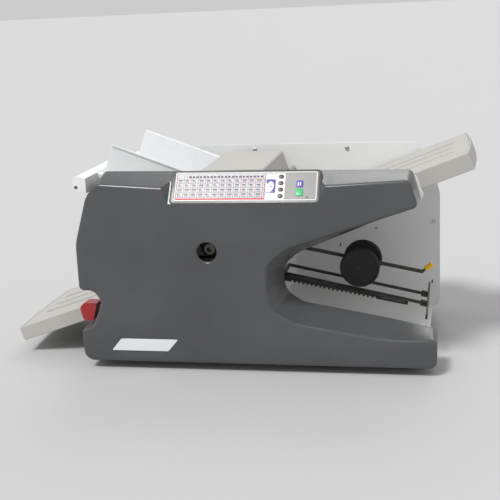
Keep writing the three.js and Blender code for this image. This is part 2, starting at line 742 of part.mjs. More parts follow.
// A belt's loop around round pulleys: the convex hull of circles a little larger than each.
function beltShape(pulleys, grow) {
  const dots = [];
  pulleys.forEach(({ x, z, radius }) => {
    for (let i = 0; i < 24; i += 1) {
      const angle = (i * Math.PI) / 12;
      dots.push(point(x + (radius + grow) * Math.cos(angle), z + (radius + grow) * Math.sin(angle)));
    }
  });
  dots.sort((a, b) => a.x - b.x || a.y - b.y);
  const chain = (list) => {
    const kept = [];
    list.forEach((dot) => {
      while (kept.length > 1) {
        const [a, b] = kept.slice(-2);
        if ((b.x - a.x) * (dot.y - a.y) - (b.y - a.y) * (dot.x - a.x) > 0.01) break;
        kept.pop();
      }
      kept.push(dot);
    });
    return kept.slice(0, -1);
  };
  return [...chain(dots), ...chain(dots.reverse())];
}

function belt(pulleys, y) {
  const shape = new THREE.Shape(beltShape(pulleys, gap + beltThickness));
  shape.holes.push(new THREE.Path(beltShape(pulleys, gap)));
  return slab(shape, y + 0.5, y + beltWidth);
}

const at = (place, radius) => ({ ...place, radius });
add(machine, "drive_belt", belt(
  [at(motor, motorPulley), at(crank, crankPulley), at(roller2, rollerPulley)], beltY,
), black, 0.8);
add(machine, "feed_belt", belt([at(roller1, feedPulley), at(feedShaft, feedPulley)], feedBeltY), black, 0.8);

const socketStart = 26;
const crankProfile = [
  [0, socketStart], [11, socketStart], [11, socketStart + 14], [shaftRadius, socketStart + 16],
  [shaftRadius, beltY - 2], ...flangedPulley(crankPulley, beltY),
  [shaftRadius, beltY + beltWidth + 3], [shaftRadius, innerFrontY + 12], [0, innerFrontY + 12],
];
const hexSocket = new THREE.CylinderGeometry(5.5, 5.5, 20, 6).translate(crank.x, socketStart, crank.z);
add(machine, "crank_shaft", cut(turned(crank.x, crank.z, crankProfile), hexSocket), steel, 0.35, 0.9);

const motorShaftEnd = innerFrontY + 20;
add(machine, "motor_pulley", turned(motor.x, motor.z, [
  [0, beltY - 4], [shaftRadius, beltY - 4], [shaftRadius, beltY - 2], ...flangedPulley(motorPulley, beltY),
  [shaftRadius, beltY + beltWidth + 3], [shaftRadius, motorShaftEnd], [0, motorShaftEnd],
]), steel, 0.35, 0.9);
const motorStart = innerFrontY + gap;
add(machine, "drive_motor", turned(motor.x, motor.z, [
  [shaftRadius + shaftClearance, motorStart], [34, motorStart], [34, motorStart + 92], [30, motorStart + 98],
  [0, motorStart + 98], [0, motorShaftEnd + 2], [shaftRadius + shaftClearance, motorShaftEnd + 2],
  [shaftRadius + shaftClearance, motorStart],
], roundSides), 0x46484a, 0.4, 0.6);

function makeBearingBlock(y) {
  const left = Math.min(...rollers.map(({ x }) => x)) - bearingMargin;
  const right = Math.max(...rollers.map(({ x }) => x)) + bearingMargin;
  const low = roller4.z - bearingMargin;
  const high = roller1.z + bearingMargin;
  return cut(
    slab(roundedRectangle(left, right, low, high, 6), y, y + bearingThickness),
    ...rollers.map((place) => boreAt(place, shaftRadius + shaftClearance, y - 1, y + bearingThickness + 1)),
  );
}
add(machine, "front_bearing_block", makeBearingBlock(innerFrontY + gap), steel, 0.4, 0.8);
add(machine, "rear_bearing_block", makeBearingBlock(innerRearY - gap - bearingThickness), steel, 0.4, 0.8);

// ---- Electrics behind the rear panel ----
const boardY = rearFrameY + 8;
add(machine, "circuit_board", join(
  block(-230, -110, boardY, boardY + 1.8, 200, 300),
  block(-226, -220, rearFrameY + gap, boardY + 1, 204, 210),
  block(-120, -114, rearFrameY + gap, boardY + 1, 204, 210),
  block(-226, -220, rearFrameY + gap, boardY + 1, 290, 296),
  block(-120, -114, rearFrameY + gap, boardY + 1, 290, 296),
  block(-190, -160, boardY + 1, boardY + 6, 240, 270),
), 0x2c6b3e, 0.5);
add(machine, "power_supply", block(-100, -10, rearFrameY + gap, rearFrameY + 42, 60, 150), steel, 0.4, 0.7);

// ---- Feed table ----
const feed = leaning(-feedSlope, feedStart.x, feedStart.z);
const tableStart = 14;
const tableEnd = feedRun + 13;
const tableSheet = 2.5;
const tableNearY = innerFrontY + gap + 9;
const tableFarY = innerRearY - gap - 9;
const padWidth = 54;
const padLength = 26;
const padStart = feedRun - 24;
const headNearY = 22;
const headFarY = middleY + 120;
const boreRadius = 4;

function makeFeedTable() {
  const plate = join(
    block(tableStart, tableEnd, tableNearY, tableFarY, -tableSheet, 0),
    block(tableStart, tableEnd - 60, tableNearY, tableNearY + tableSheet, -14, -1),
    block(tableStart, tableEnd - 60, tableFarY - tableSheet, tableFarY, -14, -1),
  );
  const window = block(
    padStart - gap,
    padStart + padLength + gap,
    middleY - padWidth / 2 - gap,
    middleY + padWidth / 2 + gap,
    -9,
    9,
  );
  const head = new THREE.Shape();
  head.moveTo(feedStart.x + 15, 389);
  head.lineTo(feedStart.x - 2, 394.4);
  head.quadraticCurveTo(feedStart.x - 12, 392, feedStart.x - 12, 381);
  head.lineTo(feedStart.x - 12, 371);
  head.quadraticCurveTo(feedStart.x - 11, 364, feedStart.x - 4, 363.5);
  head.lineTo(feedStart.x + 15, 360);
  const bore = rod(feedStart.x - 6, 371, boreRadius, headNearY - 5, headFarY + 5, 16);
  return cut(
    join(
      inGroup(cut(plate, window), -feedSlope, feedStart.x, feedStart.z),
      slab(head, headNearY, headFarY, 4),
    ),
    bore,
  );
}
add(machine, "feed_table", makeFeedTable(), white, 0.45);
const padNearY = middleY - padWidth / 2;
const padFarY = middleY + padWidth / 2;
const padBlock = block(padStart, padStart + padLength, padNearY, padFarY, -7, -0.4);
add(feed, "separator_pad", padBlock, 0x7a4a2a, 0.9);

const headCover = { left: -76, right: 52, top: bodyTop - 6, near: middleY - 122, far: middleY + 118 };

// Guides: an upright sheet with a foot on the table and a rolled top edge.
const guideStart = 18;
const guideSheet = 2;
const farGuideHeight = guideHeight + 5;
const farGuideStart = guideStart + 9;
const footWidth = 22;
function makeGuide(y, side, topWidth, start, height) {
  const end = (headCover.left - 8 - feedStart.x - height * sin(feedSlope)) / cos(feedSlope);
  const outline = [
    [y, gap], [y + side * footWidth, gap], [y + side * footWidth, gap + guideSheet],
    [y + side * guideSheet, gap + guideSheet], [y + side * guideSheet, height - 3],
    [y + side * topWidth, height - 3], [y + side * topWidth, height], [y, height],
  ];
  const shape = polygon(side > 0 ? outline : outline.reverse());
  return bar(shape, start, end);
}
const nearGuideY = middleY - 92;
const farGuideY = middleY + 104;
add(feed, "near_paper_guide", makeGuide(nearGuideY, -1, 5, guideStart, guideHeight), paleGrey, 0.4);
add(feed, "far_paper_guide", makeGuide(farGuideY, 1, 14, farGuideStart, farGuideHeight), 0xf4f5f5, 0.4);

// ---- Feed head cover, hinged at its lower right edge ----
const headOuter = [
  [headCover.left - 4, hinge.z], [headCover.left, headCover.top - 3], [headCover.left + 3, headCover.top],
  [headCover.right - 3, headCover.top], [headCover.right, headCover.top - 2], [hinge.x - 5, hinge.z],
].reverse();
const headInner = [
  [headCover.left - 1, hinge.z - 9], [headCover.left + 3, headCover.top - 3],
  [headCover.right - 3, headCover.top - 3], [hinge.x - 9, hinge.z - 9],
].reverse();
add(machine, "feed_head_cover", cut(
  slab(polygon(headOuter), headCover.near, headCover.far),
  slab(polygon(headInner), headCover.near + 3, headCover.far - 3),
), warmGrey, 0.5);

// ---- Fold plates ----
const plateNearY = innerFrontY + plateSideGap;
const plateFarY = innerRearY - plateSideGap;
const plateWall = 3.5;
const plateBow = 7;

// A plate's outline from above. Its outer end bows outwards, and `ahead` is 1 or -1 along X.
function plateOutline(start, length, inset, ahead) {
  const shape = new THREE.Shape();
  const near = plateNearY + inset;
  const far = plateFarY - inset;
  const end = start + length - plateBow - inset;
  shape.moveTo(ahead * start, near);
  shape.lineTo(ahead * end, near);
  shape.quadraticCurveTo(ahead * (end + plateBow * 2), (near + far) / 2, ahead * end, far);
  shape.lineTo(ahead * start, far);
  return shape;
}

const coverSheet = 4;
const floorSheet = 10;

function makePlateTray(length, top, thickness, ahead) {
  return cut(
    tile(plateOutline(plateStart, length, 0, ahead), top - thickness, top),
    tile(plateOutline(plateStart - 9, length + 9, plateWall, ahead), top - thickness + floorSheet, top + 5),
  );
}

function makePlateCover(length, top, ahead) {
  const skinOutline = plateOutline(plateStart + gap, length - gap, plateWall + gap, ahead);
  const skin = tile(skinOutline, top - coverSheet, top - 1);
  const ribs = [0.3, 0.5, 0.7].map((share) => {
    const y = lerp(plateNearY, plateFarY, share);
    const x0 = ahead * (plateStart + 20);
    const x1 = ahead * (plateStart + length - 40);
    return block(Math.min(x0, x1), Math.max(x0, x1), y - 5, y + 5, top - 2, top + 1.5);
  });
  return join(skin, ...ribs);
}

function addPlate(number, slope, nip, length, top, thickness, ahead, stopAt) {
  const group = leaning(slope, nip.x, nip.z);
  add(group, `fold_plate_${number}`, makePlateTray(length, top, thickness, ahead), warmGrey, 0.5);
  add(group, `fold_plate_${number}_cover`, makePlateCover(length, top, ahead), warmGrey, 0.5);
  const floor = top - thickness + floorSheet + gap;
  const stop = block(
    ahead * stopAt - 6, ahead * stopAt + 6, plateNearY + plateWall + 1, plateFarY - plateWall - 1,
    floor, top - coverSheet - gap,
  );
  add(group, `fold_stop_${number}`, stop, steel, 0.4, 0.7);
}
addPlate(1, plate1Slope, nip1, plateLength, plateTop, plateThickness, 1, 230);
addPlate(2, plate2Slope, nip2, lowerPlateLength, lowerPlateTop, lowerPlateThickness, -1, 300);

// ---- Release lever ----
const leverNearY = 46;
const leverFarY = coverDepth - 2;
const leverOutline = [
  [-303, 89, 3], [-292, 127, 5], [-321, 128, 5], [-330, 117, 4], [-324, 91, 5],
];
const leverPinEnd = innerFrontY;
add(machine, "release_lever", join(
  slab(new THREE.Shape(roundedOutline(leverOutline, 2)), leverNearY, leverFarY),
  rod(leverPivot.x, leverPivot.z, pivotPin, leverFarY - 4, leverPinEnd, 12),
), 0xc8202a, 0.35);

// ---- Control panel ----
const panel = new THREE.Group();
panel.position.set(panelLeft, panelFoot.y, panelFoot.z);
panel.rotation.x = rad(panelSlope);
machine.add(panel);
const chartEnd = 176;
const displayStart = 178;
const displayEnd = 196;
const keyX = 206;
const startX = 242;
const faceZ = 0;
const wells = [
  tile(roundedRectangle(3 - gap, chartEnd + gap, 3 - gap, panelHeight - 3 + gap, 3), faceZ - 1.2, 9),
  tile(roundedRectangle(displayStart - gap, displayEnd + gap, 17 - gap, 45 + gap, 2), faceZ - 2, 9),
];
const keyTravel = 1;
const keyDepth = 4;
// A key's outline, which can be grown for its well.
const keyShape = (x, half, low, high, corner) => (grow) => (
  roundedRectangle(x - half - grow, x + half + grow, low - grow, high + grow, corner)
);
const keyShapes = [];
for (let i = 0; i < 4; i += 1) {
  const y = 10 + i * 13.5;
  keyShapes.push([`option_key_${i + 1}`, keyShape(keyX, 5, y - 4, y + 4, 4)]);
}
keyShapes.push(["start_key", keyShape(startX, 7, 10, 25, 2)]);
keyShapes.push(["stop_key", keyShape(startX, 6.5, 28, 42, 2)]);
keyShapes.forEach(([, shape]) => {
  wells.push(tile(shape(gap), faceZ - keyDepth - 1.6, 9, 2));
});
add(panel, "control_bezel", cut(
  tile(roundedRectangle(-panelBorder, panelWidth + panelBorder, -5, panelHeight + 4, 8), -bezelDepth, faceZ),
  ...wells,
), 0xa5a5a0, 0.35);
const chartShape = roundedRectangle(3, chartEnd, 3, panelHeight - 3, 3);
add(panel, "folding_chart", tile(chartShape, faceZ - 0.9, faceZ + 0.1), white, 0.3);
const displayShape = roundedRectangle(displayStart, displayEnd, 17, 45, 2);
add(panel, "display_window", tile(displayShape, faceZ - 1.7, faceZ - 0.2), 0x5560b0, 0.15);
keyShapes.forEach(([name, shape]) => {
  const colours = { start_key: 0x2eb872, stop_key: 0x4a46b0 };
  const key = tile(shape(0), faceZ - keyDepth, faceZ + keyTravel, 2);
  add(panel, name, key, colours[name] ?? 0x2a2a30, 0.4);
});

// ---- Screws on the rear panel ----
[[190, bodyTop - 7.5], [bodyRight - 13, 219.5]].forEach(([x, z], i) => {
  const head = innerRearY - gap;
  const profile = [[0, head - 2.6], [3, head - 2.4], [4.6, head - 1.2], [4.6, head], [0, head]];
  const slot = block(x - 6, x + 6, head - 4, head - 1.6, z - 0.5, z + 0.5);
  add(machine, `panel_screw_${i + 1}`, cut(turned(x, z, profile, 8), slot), steel, 0.3, 0.9);
});

// ---- The part's origin: the middle of its footprint, on the table ----
const whole = new THREE.Group();
whole.add(machine);
const bounds = new THREE.Box3().setFromObject(whole, true);
const middle = bounds.getCenter(new THREE.Vector3());
machine.position.set(-middle.x, -middle.y, -bounds.min.z);

export default whole;
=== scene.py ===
import json
from math import cos, pi, radians, sin

import bmesh
import bpy
from bpy.props import FloatProperty, FloatVectorProperty, PointerProperty
from mathutils import Matrix, Vector


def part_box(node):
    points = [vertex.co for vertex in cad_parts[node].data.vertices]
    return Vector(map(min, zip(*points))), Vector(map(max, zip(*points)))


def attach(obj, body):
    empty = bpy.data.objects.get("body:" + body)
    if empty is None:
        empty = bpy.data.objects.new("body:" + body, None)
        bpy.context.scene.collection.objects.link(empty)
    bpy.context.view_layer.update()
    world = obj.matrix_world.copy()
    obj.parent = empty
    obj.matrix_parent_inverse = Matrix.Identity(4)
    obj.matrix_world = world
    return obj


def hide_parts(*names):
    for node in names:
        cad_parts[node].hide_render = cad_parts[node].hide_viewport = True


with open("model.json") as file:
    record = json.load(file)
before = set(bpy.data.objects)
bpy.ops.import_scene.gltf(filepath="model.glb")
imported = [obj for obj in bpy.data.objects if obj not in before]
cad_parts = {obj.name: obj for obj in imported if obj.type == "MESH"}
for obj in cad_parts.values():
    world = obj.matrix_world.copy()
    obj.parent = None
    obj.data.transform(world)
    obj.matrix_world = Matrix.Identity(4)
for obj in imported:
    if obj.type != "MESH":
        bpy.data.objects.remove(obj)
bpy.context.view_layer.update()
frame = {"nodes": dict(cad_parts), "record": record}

bl_info = {
    "name": "Paper Folder Builder",
    "version": (1, 0, 0),
    "blender": (4, 5, 0),
    "location": "3D View > Sidebar > Paper Folder",
    "description": "Models and finishes a tabletop paper folder around its packed frame",
    "category": "Add Mesh",
}

# ---- Places, in millimetres of the machine's own frame ----
# X runs along the paper path, Y from the front cover to the back, Z up from the table.

HINGE_X = 70.0
COVER_DEPTH = 76.0
NOSE_Z = 264.0
PANEL_LEFT = -105.0
PANEL_FOOT = (4.0, 346.5)
PANEL_SLOPE = 53.0
PANEL_SIZE = (276.0, 61.0)
CRANK = (-44.5, 246.5)
BADGE = {"left": -254.0, "right": -136.0, "low": 41.0, "high": 66.5, "slant": 22.0}

hinge_low, hinge_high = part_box("hinge_rod")
cover_low, cover_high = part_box("front_cover")
ORIGIN = Vector(((hinge_low.x + hinge_high.x) / 2 - HINGE_X / 1000, cover_low.y, 0))
PLACE = Matrix.Translation(ORIGIN) @ Matrix.Scale(0.001, 4)


# The frame of the control panel: X along it, Y up its slope, Z out of it.
PANEL = (
    PLACE
    @ Matrix.Translation((PANEL_LEFT, *PANEL_FOOT))
    @ Matrix.Rotation(radians(PANEL_SLOPE), 4, "X")
)

# Corners of the front cover: place on the front face, place at the rim, rounding, and whether
# the side slopes.
COVER_CORNERS = [
    ((-307, 23), (-315, 17), 22, False),
    ((382, 23), (390, 17), 15, False),
    ((382, 72), (390, 76), 10, False),
    ((300, 70), (300, 96.5), 55, True),
    ((150, 95.5), (150, 124), 14, True),
    ((118, 101), (128, 128), 26, True),
    ((72, 128), (97, 150), 26, True),
    ((65.5, 172), (91, 176), 24, True),
    ((69, 222), (94, 205), 26, True),
    ((108, 254.5), (122, 229), 28, True),
    ((356, 333.6), (360, 326), 9, True),
    ((341, 382), (344, 390), 9, True),
    ((188, 372), (188, 391), 14, True),
    ((-122, 370), (-122, 392.5), 14, True),
    ((-256, 380), (-265, 394), 9, True),
    ((-274, 356), (-281, 358), 14, False),
    ((-302, 264), (-310, 262), 14, False),
    ((-304, 174), (-312, 167), 9, False),
    ((-276, 172), (-281, 165), 9, False),
    ((-260, 142), (-267, 142), 10, False),
    ((-286, 80), (-291, 87), 9, False),
    ((-306, 77), (-314, 84), 9, False),
]


# ---- Shader expressions ----


class Value:
    """A socket of a finish's nodes that takes part in arithmetic."""

    def __init__(self, finish, socket):
        self.finish = finish
        self.socket = socket

    def maths(self, operation, *others):
        inputs = dict(enumerate((self, *others)))
        return self.finish.node("ShaderNodeMath", {"operation": operation}, inputs)

    def __add__(self, other):
        return self.maths("ADD", other)

    def __sub__(self, other):
        return self.maths("SUBTRACT", other)

    def __mul__(self, other):
        return self.maths("MULTIPLY", other)

    def __truediv__(self, other):
        return self.maths("DIVIDE", other)

    def __rsub__(self, other):
        return self.finish.node("ShaderNodeMath", {"operation": "SUBTRACT"}, {0: other, 1: self})

    __radd__ = __add__
    __rmul__ = __mul__

    def __abs__(self):
        return self.maths("ABSOLUTE")

    def __lt__(self, other):
        return self.maths("LESS_THAN", other)

    def __gt__(self, other):
        return self.maths("GREATER_THAN", other)

    def fraction(self):
        return self.maths("FRACT")

    def whole(self):
        return self.maths("FLOOR")

    def larger(self, other):
        return self.maths("MAXIMUM", other)

    def smaller(self, other):
        return self.maths("MINIMUM", other)

    def within(self, low, high):
        """One between two levels and nought outside them."""
        return (self > low) * (self < high)

    def ramp(self, low, high):
        """Nought below one level, one above another, and straight in between."""
        inputs = {"Value": self, "From Min": low, "From Max": high}
        return self.finish.node("ShaderNodeMapRange", {"clamp": True}, inputs)


class Finish:
    """A material put together from expressions, around one Principled shader."""

    def __init__(self, name, **constants):
        self.material = bpy.data.materials.new(name)
        self.material.use_nodes = True
        self.tree = self.material.node_tree
        self.tree.nodes.clear()
        output = self.tree.nodes.new("ShaderNodeOutputMaterial")
        self.surface = self.tree.nodes.new("ShaderNodeBsdfPrincipled")
        self.tree.links.new(self.surface.outputs[0], output.inputs[0])
        for socket, value in constants.items():
            self.surface.inputs[socket.replace("_", " ")].default_value = value

    def node(self, kind, settings=None, inputs=None, output=0):
        """Adds a node, with its settings first and then its sockets, and returns one of its outputs."""
        made = self.tree.nodes.new(kind)
        for name, value in (settings or {}).items():
            setattr(made, name, value)
        for key, value in (inputs or {}).items():
            self.give(made.inputs[key], value)
        return Value(self, made.outputs[output])

    def give(self, socket, value):
        if isinstance(value, Value):
            self.tree.links.new(value.socket, socket)
        else:
            socket.default_value = value

    def drive(self, **inputs):
        for name, value in inputs.items():
            self.give(self.surface.inputs[name.replace("_", " ")], value)

    def place(self, source="Object"):
        return self.node("ShaderNodeTexCoord", output=source)

    def axes(self, vector):
        split = self.node("ShaderNodeSeparateXYZ", inputs={0: vector})
        return [Value(self, socket) for socket in split.socket.node.outputs]

    def noise(self, scale, detail=3.0, roughness=0.55, vector=None, stretch=None):
        where = vector or self.place()
        if stretch:
            where = self.node("ShaderNodeMapping", inputs={"Vector": where, "Scale": stretch})
        return self.node(
            "ShaderNodeTexNoise",
            inputs={"Vector": where, "Scale": scale, "Detail": detail, "Roughness": roughness},
        )

    def blend(self, factor, first, second):
        """One colour towards another."""
        colours = {6: spread(first), 7: spread(second)}
        return self.node("ShaderNodeMix", {"data_type": "RGBA"}, {0: factor, **colours}, output=2)

    def edges(self, radius=0.0015, gain=9.0):
        """One along the edges of the piece and nought on its faces."""
        rounded = self.node("ShaderNodeBevel", {"samples": 4}, {"Radius": radius})
        plain = self.node("ShaderNodeNewGeometry", output="Normal")
        settings_of = {"operation": "DOT_PRODUCT"}
        alike = self.node("ShaderNodeVectorMath", settings_of, {0: rounded, 1: plain}, output="Value")
        return ((1 - alike) * gain).ramp(0.05, 1.0)

    def bump(self, height, distance, rounding=0.0):
        """Raises the surface by a height, over edges that look rounded when a radius is given."""
        inputs = {"Distance": distance, "Height": height}
        if rounding:
            inputs["Normal"] = self.node("ShaderNodeBevel", {"samples": 6}, {"Radius": rounding})
        self.drive(Normal=self.node("ShaderNodeBump", inputs=inputs))


def spread(colour):
    """A colour's three numbers with an alpha, or a socket as it is."""
    return colour if isinstance(colour, Value) else (*colour[:3], 1.0)


def shade(colour, factor):
    return tuple(min(1.0, part * factor) for part in colour)


# ---- Finishes ----


GRAIN_DEPTH = 0.00006
GRAIN_SCALE = 1500.0
EDGE_ROUNDING = 0.0012


def moulded(name, colour, roughness=0.45, wear=0.25, worn=1.5, dust=0.12, **constants):
    """Moulded plastic: fine spark-eroded grain, slow changes of tone, and edges rubbed lighter."""
    finish = Finish(name, **constants)
    tone = finish.noise(5.0, 4.0)
    smudge = finish.noise(24.0, 5.0, 0.65)
    fine = finish.noise(GRAIN_SCALE, 2.0)
    edge = finish.edges()
    base = finish.blend(tone.ramp(0.35, 0.65), shade(colour, 1 - dust), shade(colour, 1 + dust * 0.5))
    base = finish.blend(smudge.ramp(0.58, 0.8) * 0.25, base, shade(colour, 1 - dust * 1.6))
    rubbed = edge * finish.noise(90.0, 4.0).ramp(0.35, 0.7) * wear
    finish.drive(
        Base_Color=finish.blend(rubbed, base, shade(colour, worn)),
        Roughness=roughness + (smudge - 0.5) * 0.1 + (fine - 0.5) * 0.08 - rubbed * 0.12,
    )
    finish.bump(fine + finish.noise(GRAIN_SCALE / 4, 2.0) * 0.5, GRAIN_DEPTH, EDGE_ROUNDING)
    return finish.material


def painted(name, colour, roughness=0.4, peel=0.00009, wear=0.5, metal=(0.4, 0.4, 0.39), **constants):
    """Powder coat on sheet metal: orange peel, faint stains, and bare metal at the worn edges."""
    finish = Finish(name, **constants)
    tone = finish.noise(3.5, 4.0)
    stain = finish.noise(14.0, 6.0, 0.7)
    peeled = finish.noise(420.0, 2.0)
    chips = finish.edges(0.0009, 14.0) * finish.noise(150.0, 5.0, 0.7).ramp(0.56, 0.66) * wear
    base = finish.blend(tone.ramp(0.3, 0.7), shade(colour, 0.94), shade(colour, 1.03))
    base = finish.blend(stain.ramp(0.6, 0.85) * 0.3, base, shade(colour, 0.8))
    finish.drive(
        Base_Color=finish.blend(chips, base, metal),
        Metallic=chips * 0.8,
        Roughness=roughness + (stain - 0.5) * 0.2 + (peeled - 0.5) * 0.06,
    )
    finish.bump(peeled, peel)
    return finish.material


def brushed(name, colour, roughness=0.32, stretch=(1.0, 1.0, 30.0), depth=0.00002):
    """Machined or drawn metal with fine lines one way, tarnish, and bright edges."""
    finish = Finish(name, Metallic=1.0)
    lines = finish.noise(160.0, 4.0, 0.7, stretch=stretch)
    tarnish = finish.noise(30.0, 5.0, 0.6)
    bright = finish.edges(0.0008, 12.0)
    base = finish.blend(tarnish.ramp(0.35, 0.75), shade(colour, 1.05), shade(colour, 0.72))
    finish.drive(
        Base_Color=finish.blend(bright * 0.5, base, shade(colour, 1.35)),
        Roughness=roughness + (lines - 0.5) * 0.25 + tarnish * 0.12,
    )
    finish.bump(lines, depth)
    return finish.material


def rubbery(name, colour, roughness=0.75, dust=(0.16, 0.155, 0.15), amount=0.25, scale=700.0):
    """Rubber: matt skin with pores, and pale dust rubbed into its edges."""
    finish = Finish(name)
    pores = finish.noise(scale, 3.0, 0.6)
    bloom = finish.noise(18.0, 5.0, 0.6)
    edge = finish.edges(0.001, 8.0)
    base = finish.blend(bloom.ramp(0.4, 0.75), colour, shade(colour, 1.7))
    finish.drive(
        Base_Color=finish.blend((edge * bloom * amount).smaller(1.0), base, dust),
        Roughness=roughness + (bloom - 0.5) * 0.25,
    )
    finish.bump(pores, 0.00012)
    return finish.material


def printed_chart(name):
    """A printed chart: a red foot line, red columns, grey rules, and rows of dashes and small sheets."""
    finish = Finish(name, Coat_Weight=0.1, Coat_Roughness=0.35)
    across, up, _ = finish.axes(finish.place("UV"))
    column, row = 14.0, 9.8
    cell_x = (across / column).fraction()
    cell_y = ((up - 5.0) / row).fraction()
    columns = (cell_x < 0.075) * up.within(3.2, 53.0)
    rules = (cell_y < 0.09) * up.within(5.0, 45.0)
    foot = up < 3.2
    sides = (across < 0.8).larger(across > 172.5)
    seed = (across / column).whole() * 7.31 + ((up - 5.0) / row).whole() * 3.77
    vary = (seed.maths("SINE") * 437.58).fraction()
    dash = (cell_x > 0.2) * (cell_x < 0.5 + vary * 0.4) * cell_y.within(0.6, 0.82) * up.within(5.0, 45.0)
    sheet_mark = cell_x.within(0.28, 0.74) * cell_y.within(0.16, 0.52) * up.within(5.0, 45.0)
    sheet_hole = cell_x.within(0.36, 0.66) * cell_y.within(0.25, 0.43)
    heading = up.within(46.5, 50.5) * ((across / 7.0).fraction() > 0.35) * across.within(20.0, 168.0)
    grey = (rules * 0.55).larger(dash * 0.9).larger((sheet_mark - sheet_hole) * 0.7).larger(heading * 0.9)
    paper = finish.blend(finish.noise(60.0, 3.0).ramp(0.3, 0.8), (0.66, 0.66, 0.67), (0.6, 0.61, 0.63))
    inked = finish.blend(grey.smaller(1.0), paper, (0.03, 0.03, 0.05))
    inked = finish.blend(columns.larger(sides) * 0.8, inked, (0.5, 0.06, 0.13))
    finish.drive(
        Base_Color=finish.blend(foot, inked, (0.75, 0.03, 0.06)),
        Roughness=0.45 + finish.noise(45.0, 4.0) * 0.15,
    )
    finish.bump(finish.noise(900.0, 2.0) + grey * 0.3, 0.00002)
    return finish.material


def lit_display(name):
    """A small lit display: a violet frame round a pale oval with a bar on it."""
    finish = Finish(name, Coat_Weight=1.0, Coat_Roughness=0.05, Emission_Strength=0.12)
    across, up, _ = finish.axes(finish.place("UV"))
    x, y = (across - 9.0) / 6.0, (up - 14.0) / 9.5
    inside = (x * x + y * y) < 1.0
    bar = abs(x).maths("LESS_THAN", 0.35) * abs(y + 0.1).maths("LESS_THAN", 0.1)
    stem = abs(x - 0.05).maths("LESS_THAN", 0.1) * y.within(-0.1, 0.6)
    dots = ((across / 0.9).fraction() > 0.12) * ((up / 0.9).fraction() > 0.12)
    field = finish.blend(dots * 0.35, (0.075, 0.07, 0.32), (0.16, 0.16, 0.5))
    field = finish.blend(inside, field, (0.86, 0.87, 0.93))
    shown = finish.blend(bar.larger(stem) * inside, field, (0.08, 0.06, 0.2))
    rough = 0.2 + finish.noise(50.0).ramp(0.3, 0.8) * 0.15
    finish.drive(Base_Color=shown, Emission_Color=shown, Roughness=rough)
    finish.bump(dots, 0.00001)
    return finish.material


def key_mark(name, colour, marks):
    """A silicone key with a printed mark, given as boxes of the key's own millimetres."""
    finish = Finish(name, Coat_Weight=0.3, Coat_Roughness=0.25)
    across, up, _ = finish.axes(finish.place("UV"))
    printed = None
    for low_x, high_x, low_y, high_y in marks:
        box = across.within(low_x, high_x) * up.within(low_y, high_y)
        printed = box if printed is None else printed.larger(box)
    tone = finish.noise(200.0, 3.0)
    base = finish.blend(tone, shade(colour, 0.85), shade(colour, 1.15))
    finish.drive(
        Base_Color=base if printed is None else finish.blend(printed, base, (0.85, 0.83, 0.9)),
        Roughness=0.4 + finish.noise(120.0).ramp(0.3, 0.7) * 0.2,
    )
    finish.bump(finish.noise(1800.0, 2.0), 0.00004)
    return finish.material


def floor_finish(name, colour):
    finish = Finish(name)
    cloud = finish.noise(1.3, 3.0)
    finish.drive(
        Base_Color=finish.blend(cloud, shade(colour, 0.985), shade(colour, 1.015)),
        Roughness=0.75 + finish.noise(30.0, 4.0) * 0.15,
    )
    finish.bump(finish.noise(500.0, 2.0), 0.00005)
    return finish.material


